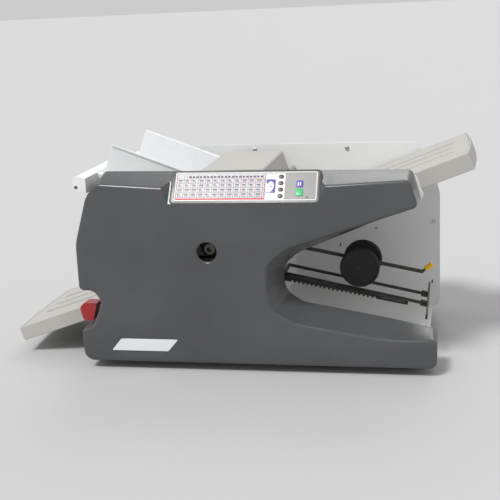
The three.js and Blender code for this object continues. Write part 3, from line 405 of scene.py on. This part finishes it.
STOP_BARS = [(3.2, 5.2, 4.0, 10.0), (7.2, 9.2, 4.0, 10.0)]
WARM = (0.45, 0.44, 0.415)
PALE = (0.82, 0.825, 0.825)
FINISHES = {
    "dark_shell": lambda: moulded("dark_shell", tuple(settings().shell_colour), 0.25, wear=0.15, worn=1.5),
    "pale_panel": lambda: painted("pale_panel", PALE),
    "warm_plastic": lambda: moulded("warm_plastic", WARM, 0.45, wear=0.3, worn=1.25, dust=0.05),
    "rim_white": lambda: moulded("rim_white", (0.7, 0.7, 0.69), 0.35, wear=0.1, worn=1.1, dust=0.03),
    "white_plastic": lambda: moulded(
        "white_plastic", (0.82, 0.83, 0.82), 0.4, wear=0.15, worn=1.1, dust=0.04,
    ),
    "near_guide_paint": lambda: painted("near_guide_paint", (0.7, 0.72, 0.72), 0.35),
    "far_guide_paint": lambda: painted("far_guide_paint", (0.8, 0.81, 0.83), 0.28),
    "bezel": lambda: moulded("bezel", (0.25, 0.24, 0.225), 0.38, wear=0.2, dust=0.05),
    "printed_film": lambda: printed_chart("printed_film"),
    "display": lambda: lit_display("display"),
    "key_dark": lambda: key_mark("key_dark", (0.035, 0.03, 0.05), []),
    "key_green": lambda: key_mark("key_green", (0.04, 0.5, 0.17), []),
    "key_blue": lambda: key_mark("key_blue", (0.09, 0.07, 0.5), STOP_BARS),
    "badge": lambda: moulded("badge", (0.8, 0.81, 0.83), 0.28, wear=0.2, dust=0.04, Coat_Weight=0.4),
    "black_plastic": lambda: moulded("black_plastic", (0.017, 0.016, 0.015), 0.4, wear=0.5, worn=4.0),
    "black_rubber": lambda: rubbery("black_rubber", (0.008, 0.008, 0.008), 0.6),
    "roller_rubber": lambda: rubbery("roller_rubber", (0.04, 0.04, 0.043), 0.6),
    "steel": lambda: brushed("steel", (0.55, 0.55, 0.53)),
    "burnished": lambda: brushed("burnished", (0.13, 0.125, 0.12), 0.4),
    "aluminium": lambda: brushed("aluminium", (0.66, 0.66, 0.67), 0.38, (30.0, 1.0, 1.0)),
    "dark_rod": lambda: painted("dark_rod", (0.03, 0.026, 0.02), 0.3, 0.00003, 0.6, (0.2, 0.17, 0.12)),
    "yellow_grip": lambda: rubbery("yellow_grip", (0.95, 0.48, 0.004), 0.5, (0.9, 0.75, 0.4), 0.2, 1100.0),
    "red_plastic": lambda: moulded(
        "red_plastic", (0.36, 0.007, 0.012), 0.36, wear=0.25, worn=1.4, Coat_Weight=0.3,
    ),
    "motor_paint": lambda: painted("motor_paint", (0.06, 0.06, 0.065), 0.4),
    "board": lambda: moulded("board", (0.02, 0.16, 0.06), 0.3, wear=0.4, worn=2.0),
    "friction_pad": lambda: rubbery("friction_pad", (0.2, 0.09, 0.05), 0.85),
}
made_finishes = {}


def finish_of(slot):
    if slot not in made_finishes:
        made_finishes[slot] = FINISHES[slot]()
    return made_finishes[slot]


# ---- Pieces ----

SLOT_OF = {part["node"]: part["material_slot"] for part in frame["record"]["subparts"]}
BODY_OF = {node: body for body, nodes in frame["record"]["behaviour"]["bodies"].items() for node in nodes}


def finished(piece, body, slot, *finishes, replaces=()):
    """Sets a piece's finishes, or its slot's finish when none are given, puts it on its body and hides the nodes
    it stands for.
    """
    for name in finishes or (slot,):
        piece.data.materials.append(finish_of(name))
    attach(piece, body)
    if replaces:
        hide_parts(*replaces)
    return piece


def to_object(bm, name, matrix=PLACE, sharp=35.0):
    """Turns a bmesh in millimetres of some frame into an object in place, shaded smooth up to an angle."""
    bmesh.ops.transform(bm, matrix=matrix, verts=bm.verts)
    bmesh.ops.recalc_face_normals(bm, faces=bm.faces)
    mesh = bpy.data.meshes.new(name)
    bm.to_mesh(mesh)
    bm.free()
    for face in mesh.polygons:
        face.use_smooth = True
    mesh.set_sharp_from_angle(angle=radians(sharp))
    piece = bpy.data.objects.new(name, mesh)
    bpy.context.scene.collection.objects.link(piece)
    return piece


def bevelled(piece, width, segments=2, angle=40.0):
    """Rounds the edges of a piece by a live modifier, width in millimetres."""
    rounding = piece.modifiers.new("rounding", "BEVEL")
    rounding.width = width / 1000
    rounding.segments = segments
    rounding.limit_method = "ANGLE"
    rounding.angle_limit = radians(angle)
    rounding.use_clamp_overlap = True
    rounding.harden_normals = True
    return piece


def settle(piece):
    """Applies a piece's modifiers."""
    graph = bpy.context.evaluated_depsgraph_get()
    piece.data = bpy.data.meshes.new_from_object(piece.evaluated_get(graph))
    piece.modifiers.clear()
    return piece


def combine(piece, operation, *others):
    """Joins other solids to a piece or cuts them out of it, and removes them."""
    for other in others:
        change = piece.modifiers.new("change", "BOOLEAN")
        change.operation = operation
        change.object = other
        change.solver = "EXACT"
        settle(piece)
        bpy.data.objects.remove(other)
    return piece


def shaded(piece, sharp=35.0):
    for face in piece.data.polygons:
        face.use_smooth = True
    piece.data.set_sharp_from_angle(angle=radians(sharp))
    return piece


def softened(node, width=0.8, segments=2, finishes=(), angle=40.0):
    """A copy of a CAD node with its seams merged and its edges rounded, standing for that node."""
    bm = bmesh.new()
    bm.from_mesh(frame["nodes"][node].data)
    bmesh.ops.remove_doubles(bm, verts=bm.verts, dist=0.00001)
    bmesh.ops.dissolve_limit(bm, angle_limit=radians(0.6), verts=bm.verts, edges=bm.edges)
    for face in bm.faces:
        face.material_index = 0
    mesh = bpy.data.meshes.new(f"{node}_body")
    bm.to_mesh(mesh)
    bm.free()
    mesh.materials.clear()
    piece = bpy.data.objects.new(f"{node}_piece", mesh)
    bpy.context.scene.collection.objects.link(piece)
    shaded(piece)
    if width:
        bevelled(piece, width, segments, angle)
    return finished(piece, BODY_OF[node], SLOT_OF[node], *finishes, replaces=(node,))


def prism(bm, outline, low, high):
    """An outline in X and Z extruded along Y from one level to another."""
    base = bm.faces.new([bm.verts.new((x, low, z)) for x, z in outline])
    grown = bmesh.ops.extrude_face_region(bm, geom=[base], use_keep_orig=True)["geom"]
    corners = [v for v in grown if isinstance(v, bmesh.types.BMVert)]
    bmesh.ops.translate(bm, verts=corners, vec=(0, high - low, 0))


def slice_across(bm, spot, normal):
    """Splits every face that a plane crosses."""
    bmesh.ops.bisect_plane(bm, geom=bm.verts[:] + bm.edges[:] + bm.faces[:], plane_co=spot, plane_no=normal)


def round_edges(bm, edges, offset, segments=3):
    return bmesh.ops.bevel(
        bm, geom=list(edges), offset=offset, offset_type="OFFSET", affect="EDGES",
        segments=segments, profile=0.5, material=-1, clamp_overlap=False,
    )


def rounded_plate(bm, x0, x1, y0, y1, z0, z1, corner, edge=0.0, steps=5):
    """A plate with rounded corners and a rounded upper edge."""
    made = bmesh.ops.create_cube(bm, size=1.0)["verts"]
    bmesh.ops.scale(bm, vec=(x1 - x0, y1 - y0, z1 - z0), verts=made)
    bmesh.ops.translate(bm, vec=((x0 + x1) / 2, (y0 + y1) / 2, (z0 + z1) / 2), verts=made)
    upright = [e for e in bm.edges if e.verts[0] in made and abs(e.verts[0].co.z - e.verts[1].co.z) > 1e-6]
    round_edges(bm, upright, corner, steps)
    if edge:
        top = [e for e in bm.edges if all(abs(v.co.z - z1) < 1e-6 for v in e.verts)]
        bm.normal_update()
        rim = [e for e in top if any(abs(f.normal.z) < 0.5 for f in e.link_faces)]
        round_edges(bm, rim, edge, 3)


def turned(bm, profile, centre=(0, 0, 0), axis=(0, 1, 0), steps=48):
    """A profile of (radius, distance along the axis) spun all the way round; the axis is X, Y or Z."""
    along = Vector(axis)
    out = Vector((0, 0, 1)) if abs(along.z) < 0.5 else Vector((1, 0, 0))
    middle = Vector(centre)
    spots = [bm.verts.new(middle + out * radius + along * reach) for radius, reach in profile]
    edges = [bm.edges.new(pair) for pair in zip(spots, spots[1:])]
    bmesh.ops.spin(
        bm, geom=spots + edges, cent=middle, axis=along, angle=2 * pi, steps=steps, use_merge=True,
    )
    bmesh.ops.remove_doubles(bm, verts=bm.verts, dist=0.0005)


def mix(a, b, t):
    return a + (b - a) * t


# ---- Front cover ----


def lean_back(bm):
    """Leans the front face back above and below the nose, less and less towards the rim."""
    for v in bm.verts:
        rise = v.co.z - NOSE_Z
        lean = settings().upper_lean * rise if rise > 0 else -settings().lower_lean * rise
        v.co.y += lean * (1 - v.co.y / COVER_DEPTH)


def cover_skin(edge_radius, closed=False):
    """The C-shaped cover's outer skin, its long edges and front rim rounded, open behind unless closed."""
    bm = bmesh.new()
    start = 0.1
    front = [
        tuple(mix(f, r, start if slopes else 1.0) for f, r in zip(near, rim))
        for near, rim, _, slopes in COVER_CORNERS
    ]
    base = bm.faces.new([bm.verts.new((x, 0, z)) for x, z in front])
    ring = list(base.verts)
    grown = bmesh.ops.extrude_face_region(bm, geom=[base], use_keep_orig=True)["geom"]
    back = [g for g in grown if isinstance(g, bmesh.types.BMFace)][0]
    longs = []
    for near_vert, (_, rim, rounding, _) in zip(ring, COVER_CORNERS):
        edge = [e for e in near_vert.link_edges if e.other_vert(near_vert) not in ring][0]
        edge.other_vert(near_vert).co = (rim[0], COVER_DEPTH, rim[1])
        longs.append((edge, rounding))
    bmesh.ops.delete(bm, geom=[back], context="FACES_ONLY")
    for edge, rounding in longs:
        sides = [e.calc_length() for v in edge.verts for e in v.link_edges if e is not edge]
        round_edges(bm, [edge], min(rounding, 0.48 * min(sides)), 7)
    bm.normal_update()
    faces = [f for f in bm.faces if all(abs(v.co.y) < 1e-4 for v in f.verts)]
    rims = {e for f in faces for e in f.edges if len(e.link_faces) == 2}
    round_edges(bm, rims, edge_radius, 4)
    slice_across(bm, (0, 0, NOSE_Z), (0, 0, 1))
    lean_back(bm)
    bmesh.ops.recalc_face_normals(bm, faces=bm.faces)
    fronts = [f for f in bm.faces if len(f.verts) > 20]
    if fronts[0].normal.y > 0:
        bmesh.ops.reverse_faces(bm, faces=bm.faces)
    if closed:
        bmesh.ops.holes_fill(bm, edges=[e for e in bm.edges if e.is_boundary], sides=0)
    bmesh.ops.transform(bm, matrix=PLACE, verts=bm.verts)
    mesh = bpy.data.meshes.new("front_cover_piece")
    bm.to_mesh(mesh)
    bm.free()
    skin = bpy.data.objects.new("front_cover_piece", mesh)
    bpy.context.scene.collection.objects.link(skin)
    return skin


def cover_shell(edge_radius, wall):
    """The cover with its wall given a thickness inwards."""
    shell = cover_skin(edge_radius)
    thick = shell.modifiers.new("wall", "SOLIDIFY")
    thick.thickness = wall / 1000
    thick.offset = -1
    thick.use_even_offset = True
    return settle(shell)


RECESS_LEFT = 11.0
RECESS_RIGHT = 4.0
RECESS_FLARE = 0.7
TUB_WALL = 4.0
SKIN_GAP = (0, 0.0011, -0.0012)


def flared_plate(bm, x0, x1, y0, y1, z0, z1, corner):
    """A plate whose ends spread outwards as they rise."""
    rounded_plate(bm, x0, x1, y0, y1, z0, z1, corner)
    for v in bm.verts:
        side = -1 if v.co.x < (x0 + x1) / 2 else 1
        v.co.x += side * RECESS_FLARE * (v.co.z - z0)


def panel_tub():
    """The block, inside the shell's skin, that the panel's recess is cut from."""
    width, height = PANEL_SIZE
    bm = bmesh.new()
    left, right = -RECESS_LEFT - TUB_WALL, width + RECESS_RIGHT + TUB_WALL
    flared_plate(bm, left, right, -TUB_WALL, height + 20, -1 - TUB_WALL, 60, 3)
    tub = to_object(bm, "panel_tub", PANEL)
    skin = cover_skin(settings().cover_edge * 1000, closed=True)
    skin.data.transform(Matrix.Translation(SKIN_GAP))
    return combine(tub, "INTERSECT", skin)


def panel_recess():
    """What is cut away in front of the panel's slope, leaving a crisp ledge round the bezel."""
    width, height = PANEL_SIZE
    bm = bmesh.new()
    flared_plate(bm, -RECESS_LEFT, width + RECESS_RIGHT, -60, height + 30, -1, 90, 6)
    return to_object(bm, "recess_cutter", PANEL)


def panel_pocket():
    bm = bmesh.new()
    rounded_plate(bm, -7.6, PANEL_SIZE[0] + 7.6, -5.6, PANEL_SIZE[1] + 4.6, -14.6, 60, 8)
    return to_object(bm, "pocket_cutter", PANEL)


def badge_outline(grow):
    left, right, low, high, slant = (BADGE[k] for k in ("left", "right", "low", "high", "slant"))
    return [
        (left - grow, low - grow),
        (right + grow, low - grow),
        (right + slant + grow, high + grow),
        (left + slant - grow, high + grow),
    ]


def crank_cutter():
    bm = bmesh.new()
    profile = [(0, -4.2), (25, -4.2), (22.3, -0.45), (20.2, 1.1), (19.2, 2.6), (19, 5.3), (19, 12), (0, 12)]
    turned(bm, profile, (CRANK[0], 0, CRANK[1]))
    lean_back(bm)
    return to_object(bm, "crank_cutter")


def badge_cutter():
    bm = bmesh.new()
    prism(bm, badge_outline(0.5), -4, 1.9)
    lean_back(bm)
    return to_object(bm, "badge_cutter")


SCOOP_DROP = 11.0
SCOOP_DEPTH = 2.6
SCOOP_STEPS = 24


def thumb_cutter():
    """A crescent scoop below the badge, deepest beside it."""
    left, right, low = BADGE["left"] + 4, BADGE["right"] - 4, BADGE["low"]
    bm = bmesh.new()
    turns = [i / SCOOP_STEPS for i in range(SCOOP_STEPS + 1)]
    bow = [(mix(left, right, t), low - 2 - 4 * SCOOP_DROP * t * (1 - t)) for t in turns]
    prism(bm, [(left, low + 6), *bow, (right, low + 6)], -4, 0)
    foot = low - 2 - SCOOP_DROP
    for v in bm.verts:
        if abs(v.co.y) < 1e-6:
            v.co.y = mix(0.1, SCOOP_DEPTH, (v.co.z - foot) / (low + 6 - foot))
    lean_back(bm)
    return to_object(bm, "thumb_cutter")


class FOLDER_OT_front_cover(bpy.types.Operator):
    """Models the C-shaped front cover with its panel recess and pocket, crank hole, badge recess and thumb scoop
    """

    bl_idname = "folder.front_cover"
    bl_label = "Front Cover"

    def execute(self, context):
        shell = cover_shell(settings().cover_edge * 1000, settings().cover_wall * 1000)
        combine(shell, "UNION", panel_tub())
        cutters = (panel_recess(), panel_pocket(), crank_cutter(), badge_cutter(), thumb_cutter())
        combine(shell, "DIFFERENCE", *cutters)
        shell.data.materials.clear()
        shaded(shell, 28.0)
        finished(shell, "root", "dark_shell", replaces=("front_cover",))
        return {"FINISHED"}


class FOLDER_OT_badge(bpy.types.Operator):
    """Models the blank name badge, with rounded corners and edges"""

    bl_idname = "folder.badge"
    bl_label = "Blank Badge"

    def execute(self, context):
        bm = bmesh.new()
        prism(bm, badge_outline(0), 0.2, 1.5)
        uprights = [e for e in bm.edges if abs(e.verts[0].co.y - e.verts[1].co.y) > 0.5]
        round_edges(bm, uprights, 3.5, 5)
        lean_back(bm)
        piece = bevelled(to_object(bm, "name_badge_piece", sharp=20.0), 0.35, 2, 30.0)
        finished(piece, "root", "badge", replaces=("name_badge",))
        return {"FINISHED"}


# ---- Control panel ----

FILM_LEVEL = -1.2
KEY_AREA = (176.6, 214.0)
LAMP = (257.0, 7.5)
OPTION_KEY_LOW = 6.0
OPTION_KEY_PITCH = 13.5


def mapped(piece, matrix, left=0.0, low=0.0):
    """Gives a piece the millimetres of its frame as its UV map."""
    layer = piece.data.uv_layers.new(name="plan")
    back = matrix.inverted()
    for loop in piece.data.loops:
        spot = back @ piece.data.vertices[loop.vertex_index].co
        layer.data[loop.index].uv = (spot.x - left, spot.y - low)
    return piece


class FOLDER_OT_bezel(bpy.types.Operator):
    """Models the bezel: dark border, raised white rim, grey field, white key strip and pilot lamp"""

    bl_idname = "folder.bezel"
    bl_label = "Panel Bezel"

    def execute(self, context):
        width, height = PANEL_SIZE
        rim = settings().rim_width * 1000
        bm = bmesh.new()
        rounded_plate(bm, -7, width + 7, -5, height + 4, -14, -0.4, 8, 0.8)
        border = to_object(bm, "control_bezel_piece", PANEL, 30.0)
        bm = bmesh.new()
        rounded_plate(bm, -0.4, width + 0.4, -0.4, height + 0.4, -3, 6, 5.4)
        combine(border, "DIFFERENCE", to_object(bm, "field_cutter", PANEL))
        border.data.materials.clear()
        shaded(border, 30.0)
        finished(border, "root", "dark_shell", replaces=("control_bezel",))
        bm = bmesh.new()
        rounded_plate(bm, 0, width, 0, height, -3, 0, 5, 0.5)
        bm.normal_update()
        top = [f for f in bm.faces if f.normal.z > 0.99]
        bmesh.ops.inset_region(bm, faces=top, thickness=rim, depth=0.0)
        bmesh.ops.inset_region(bm, faces=top, thickness=0.4, depth=0.0)
        bmesh.ops.translate(bm, verts=list({v for f in top for v in f.verts}), vec=(0, 0, FILM_LEVEL))
        for cut_x in KEY_AREA:
            slice_across(bm, (cut_x, 0, 0), (1, 0, 0))
        bm.normal_update()
        for face in bm.faces:
            middle = face.calc_center_median()
            floor = abs(middle.z - FILM_LEVEL) < 0.05 and face.normal.z > 0.9
            grey = floor and not KEY_AREA[0] < middle.x < KEY_AREA[1]
            face.material_index = 0 if grey else 1
        field = to_object(bm, "panel_field", PANEL, 30.0)
        finished(field, "root", "bezel", "bezel", "rim_white")
        bm = bmesh.new()
        foot = FILM_LEVEL - 0.5
        turned(bm, [(0, -0.9), (1.5, -0.9), (1.7, -1.1), (1.7, foot), (0, foot)], (*LAMP, 0), (0, 0, 1), 24)
        lamp = to_object(bm, "pilot_lamp", PANEL)
        finished(lamp, "root", "black_plastic")
        return {"FINISHED"}


class FOLDER_OT_chart(bpy.types.Operator):
    """Models the printed chart film and the display window, each with its own plan"""

    bl_idname = "folder.chart"
    bl_label = "Chart and Display"

    def execute(self, context):
        bm = bmesh.new()
        rounded_plate(bm, 2.9, 176.2, 2.9, 58.1, FILM_LEVEL + 0.05, FILM_LEVEL + 0.35, 1.5, 0.1)
        chart = mapped(to_object(bm, "folding_chart_piece", PANEL), PANEL, 2.9, 2.9)
        finished(chart, "root", "printed_film", replaces=("folding_chart",))
        bm = bmesh.new()
        rounded_plate(bm, 178, 196, 17, 45, FILM_LEVEL + 0.05, FILM_LEVEL + 0.9, 2.2, 0.4)
        window = mapped(to_object(bm, "display_window_piece", PANEL), PANEL, 178, 17)
        finished(window, "root", "display", replaces=("display_window",))
        return {"FINISHED"}


class FOLDER_OT_keys(bpy.types.Operator):
    """Models the oval option keys and the start and stop keys, each on its own body"""

    bl_idname = "folder.keys"
    bl_label = "Keys"

    def execute(self, context):
        rows = [OPTION_KEY_LOW + OPTION_KEY_PITCH * i for i in range(4)]
        keys = [(f"option_key_{i + 1}", 201, 211, y, y + 8, "key_dark", 3.9) for i, y in enumerate(rows)]
        keys.append(("start_key", 235, 249, 10, 25, "key_green", 2.0))
        keys.append(("stop_key", 235.5, 248.5, 28, 42, "key_blue", 2.0))
        for name, x0, x1, y0, y1, slot, corner in keys:
            bm = bmesh.new()
            rounded_plate(bm, x0, x1, y0, y1, FILM_LEVEL - 0.4, 0.35, corner, 0.9, 6)
            key = mapped(to_object(bm, f"{name}_piece", PANEL), PANEL, x0, y0)
            finished(key, BODY_OF[name], slot, replaces=(name,))
        return {"FINISHED"}


# ---- Frames, covers, base ----


SCREW_PROFILE = [(0, -1.2), (1.3, -1.2), (1.9, -2.3), (3.4, -2.5), (4.2, -1.9), (4.5, -0.9), (4.5, 0), (0, 0)]
PANEL_SCREWS = (("panel_screw_1", 190, 386.5), ("panel_screw_2", 377, 219.5), ("panel_screw_3", -16, 386))


class FOLDER_OT_frames(bpy.types.Operator):
    """Rounds and finishes the side frames and their screws, and adds the third panel screw"""

    bl_idname = "folder.frames"
    bl_label = "Side Frames"

    def execute(self, context):
        softened("front_side_frame", 0.8)
        softened("rear_side_panel", 1.0)
        for name, x, z in PANEL_SCREWS:
            known = name in frame["nodes"]
            _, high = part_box(name if known else PANEL_SCREWS[0][0])
            face_y = (high.y - ORIGIN.y) * 1000
            bm = bmesh.new()
            turned(bm, SCREW_PROFILE, (x, face_y, z), steps=28)
            piece = to_object(bm, f"{name}_piece")
            finished(piece, "root", "steel", replaces=(name,) if known else ())
        return {"FINISHED"}


class FOLDER_OT_covers(bpy.types.Operator):
    """Rounds and finishes the rear cover, inlet, rocker, feet and base pan"""

    bl_idname = "folder.covers"
    bl_label = "Covers and Base"

    def execute(self, context):
        softened("rear_cover", 1.2, 3)
        for node in ("mains_inlet", "power_rocker"):
            softened(node, 0.5)
        for node in ("front_left_foot", "front_right_foot", "rear_left_foot", "rear_right_foot"):
            softened(node, 1.0, 3)
        softened("base_pan", 0.8)
        softened("release_lever", 2.5, 4)
        return {"FINISHED"}


# ---- Feed ----


class FOLDER_OT_feed(bpy.types.Operator):
    """Rounds and finishes the feed table, guides, head cover and friction pad"""

    bl_idname = "folder.feed"
    bl_label = "Feed"

    def execute(self, context):
        softened("feed_table", 1.0, 3)
        softened("near_paper_guide", 0.9, 3)
        softened("far_paper_guide", 0.9, 3)
        softened("feed_head_cover", 1.6, 4)
        softened("separator_pad", 0.6)
        return {"FINISHED"}


# ---- Fold plates ----


class FOLDER_OT_plates(bpy.types.Operator):
    """Rounds and finishes the two ribbed fold plates and their stops"""

    bl_idname = "folder.plates"
    bl_label = "Fold Plates"

    def execute(self, context):
        for plate in ("fold_plate_1", "fold_plate_2"):
            softened(plate, 1.4, 3)
            softened(f"{plate}_cover", 1.3, 4)
        for stop in ("fold_stop_1", "fold_stop_2"):
            softened(stop, 0.5)
        return {"FINISHED"}


# ---- Stacker ----


class FOLDER_OT_stacker(bpy.types.Operator):
    """Rounds and finishes the exit deck, rods, stop bar and notched rail"""

    bl_idname = "folder.stacker"
    bl_label = "Exit Stacker"

    def execute(self, context):
        softened("exit_deck", 1.0, 3)
        softened("stacker_rods", 0.4)
        softened("stop_bar", 0.8, 3, ("dark_rod",))
        softened("notched_rail", 0.4)
        softened("arm_pivot_rod", 0.4)
        softened("hinge_rod", 0.4)
        return {"FINISHED"}




# The wheels' outline: distance in from the tread, and distance along the axle.
BORE_RADIUS = 2.9
RIM_PROFILE = [(6.2, 1.2), (5.4, 0.4), (4.6, 0), (3.0, 0), (1.2, 0.9), (0, 2.8)]
RIB_PROFILE = [(0.6, -1.6), (0, -1.0), (0, 1.0), (0.6, 1.6)]


class FOLDER_OT_arm(bpy.types.Operator):
    """Models the stacker wheels and finishes the arm, its grip and its carriage"""

    bl_idname = "folder.arm"
    bl_label = "Arm and Wheels"

    def execute(self, context):
        softened("stacker_arm", 0.4)
        softened("arm_grip", 0.8, 3)
        softened("wheel_carriage", 0.8)
        radius = settings().wheel_radius * 1000
        for name in ("near_stacker_wheel", "far_stacker_wheel"):
            low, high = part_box(name)
            centre = (Matrix.Scale(1000, 4) @ Matrix.Translation(-ORIGIN)) @ ((low + high) / 2)
            half = (high.y - low.y) * 500
            bm = bmesh.new()
            side = [(BORE_RADIUS, 1.2 - half)]
            side += [(radius - inwards, along - half) for inwards, along in RIM_PROFILE]
            ribs = [(radius, 3.6 - half)] + [(radius - inwards, along) for inwards, along in RIB_PROFILE]
            turned(bm, side + ribs + [(r, -y) for r, y in reversed(side)] + [side[0]], centre, steps=72)
            wheel = to_object(bm, f"{name}_piece")
            finished(wheel, BODY_OF[name], "black_rubber", replaces=(name,))
        return {"FINISHED"}


# ---- Drive ----


class FOLDER_OT_drive(bpy.types.Operator):
    """Finishes the rollers, belts, shafts, motor, bearing blocks and electrics"""

    bl_idname = "folder.drive"
    bl_label = "Drive"

    def execute(self, context):
        for node in (
            "fold_roller_1", "fold_roller_2", "fold_roller_3", "fold_roller_4", "feed_roller",
            "drive_belt", "feed_belt", "motor_pulley", "drive_motor",
            "front_bearing_block", "rear_bearing_block", "circuit_board",
            "power_supply",
        ):
            softened(node, 0.4)
        softened("crank_shaft", 0.4, 2, ("burnished",))
        return {"FINISHED"}


# ---- Stage ----

FLOOR_REACH = 60.0
CAMERA_SPOT = (0.43593, -2.0255, 0.71673)
CAMERA_YAW = 11.9
CAMERA_PITCH = 14.17
CAMERA_ROLL = -2.75
CAMERA_LENS = 72.0


def sun(name, towards, spread_angle, power):
    """A broad, even light from far away in a direction."""
    lamp = bpy.data.lights.new(name, "SUN")
    lamp.energy = power
    lamp.angle = radians(spread_angle)
    holder = bpy.data.objects.new(name, lamp)
    bpy.context.scene.collection.objects.link(holder)
    holder.rotation_mode = "QUATERNION"
    holder.rotation_quaternion = Vector(towards).to_track_quat("Z", "Y")


class FOLDER_OT_stage(bpy.types.Operator):
    """Sets the pale floor, the soft lights and the camera"""

    bl_idname = "folder.stage"
    bl_label = "Stage"

    def execute(self, context):
        bm = bmesh.new()
        bmesh.ops.create_grid(bm, x_segments=1, y_segments=1, size=FLOOR_REACH)
        floor = to_object(bm, "floor", Matrix.Identity(4))
        floor.data.materials.append(floor_finish("floor", tuple(settings().floor_colour)))
        sun("key", (-0.35, -0.6, 1.0), 14.0, settings().key_power)
        sun("sheen", (0.05, 0.74, 0.67), 32.0, settings().sheen_power)
        world = bpy.data.worlds.new("studio")
        world.use_nodes = True
        sky = world.node_tree.nodes["Background"]
        sky.inputs["Color"].default_value = (1, 1, 1, 1)
        sky.inputs["Strength"].default_value = settings().world_strength
        context.scene.world = world
        context.scene.view_settings.view_transform = "Standard"
        lens = bpy.data.cameras.new("camera")
        lens.lens = CAMERA_LENS
        lens.sensor_width = 36.0
        camera = bpy.data.objects.new("camera", lens)
        context.scene.collection.objects.link(camera)
        yaw, pitch, roll = radians(CAMERA_YAW), radians(CAMERA_PITCH), radians(CAMERA_ROLL)
        ahead = Vector((-sin(yaw) * cos(pitch), cos(yaw) * cos(pitch), -sin(pitch)))
        right = Vector((cos(yaw), sin(yaw), 0))
        up = right.cross(ahead)
        across = right * cos(roll) + up * sin(roll)
        upward = up * cos(roll) - right * sin(roll)
        turn = Matrix((across, upward, -ahead)).transposed().to_4x4()
        turn.translation = Vector(CAMERA_SPOT)
        camera.matrix_world = turn
        context.scene.camera = camera
        return {"FINISHED"}


# ---- Settings and panel ----


class FOLDER_PG_settings(bpy.types.PropertyGroup):
    shell_colour: FloatVectorProperty(
        name="Shell Colour", description="Colour of the dark covers",
        subtype="COLOR", default=(0.074, 0.076, 0.079), min=0, max=1,
    )
    floor_colour: FloatVectorProperty(
        name="Floor Colour", description="Colour of the floor",
        subtype="COLOR", default=(0.52, 0.52, 0.52), min=0, max=1,
    )
    cover_edge: FloatProperty(
        name="Cover Edge", description="Rounding of the front cover's face", default=0.0055, unit="LENGTH",
    )
    cover_wall: FloatProperty(
        name="Cover Wall", description="Thickness of the front cover", default=0.0035, unit="LENGTH",
    )
    upper_lean: FloatProperty(
        name="Upper Lean", description="Lean of the front face above its nose, per unit of height", default=0.02,
    )
    lower_lean: FloatProperty(
        name="Lower Lean", description="Lean of the front face below its nose, per unit of drop", default=0.035,
    )
    rim_width: FloatProperty(
        name="Rim Width", description="Width of the bezel's white rim", default=0.0022, unit="LENGTH",
    )
    wheel_radius: FloatProperty(
        name="Wheel Radius", description="Radius of the stacker wheels", default=0.0406, unit="LENGTH",
    )
    key_power: FloatProperty(name="Key Light", description="Power of the light from the front", default=2.3)
    sheen_power: FloatProperty(name="Sheen Light", description="Power of the light from behind", default=0.6)
    world_strength: FloatProperty(name="Sky", description="Strength of the even light", default=0.6)


def settings():
    return bpy.context.scene.folder_settings


STEPS = (
    FOLDER_OT_stage,
    FOLDER_OT_front_cover,
    FOLDER_OT_badge,
    FOLDER_OT_bezel,
    FOLDER_OT_chart,
    FOLDER_OT_keys,
    FOLDER_OT_frames,
    FOLDER_OT_covers,
    FOLDER_OT_feed,
    FOLDER_OT_plates,
    FOLDER_OT_stacker,
    FOLDER_OT_arm,
    FOLDER_OT_drive,
)


class FOLDER_PT_builder(bpy.types.Panel):
    """Lists the builder's steps and settings"""

    bl_idname = "FOLDER_PT_builder"
    bl_label = "Paper Folder"
    bl_space_type = "VIEW_3D"
    bl_region_type = "UI"
    bl_category = "Paper Folder"

    def draw(self, context):
        for name in FOLDER_PG_settings.__annotations__:
            self.layout.prop(context.scene.folder_settings, name)
        for step in STEPS:
            self.layout.operator(step.bl_idname)


CLASSES = (FOLDER_PG_settings, *STEPS, FOLDER_PT_builder)


def register():
    for made in CLASSES:
        bpy.utils.register_class(made)
    bpy.types.Scene.folder_settings = PointerProperty(type=FOLDER_PG_settings)


def unregister():
    del bpy.types.Scene.folder_settings
    for made in reversed(CLASSES):
        bpy.utils.unregister_class(made)


def main():
    register()
    for step in STEPS:
        group, name = step.bl_idname.split(".")
        getattr(getattr(bpy.ops, group), name)()


if __name__ == "__main__":
    main()
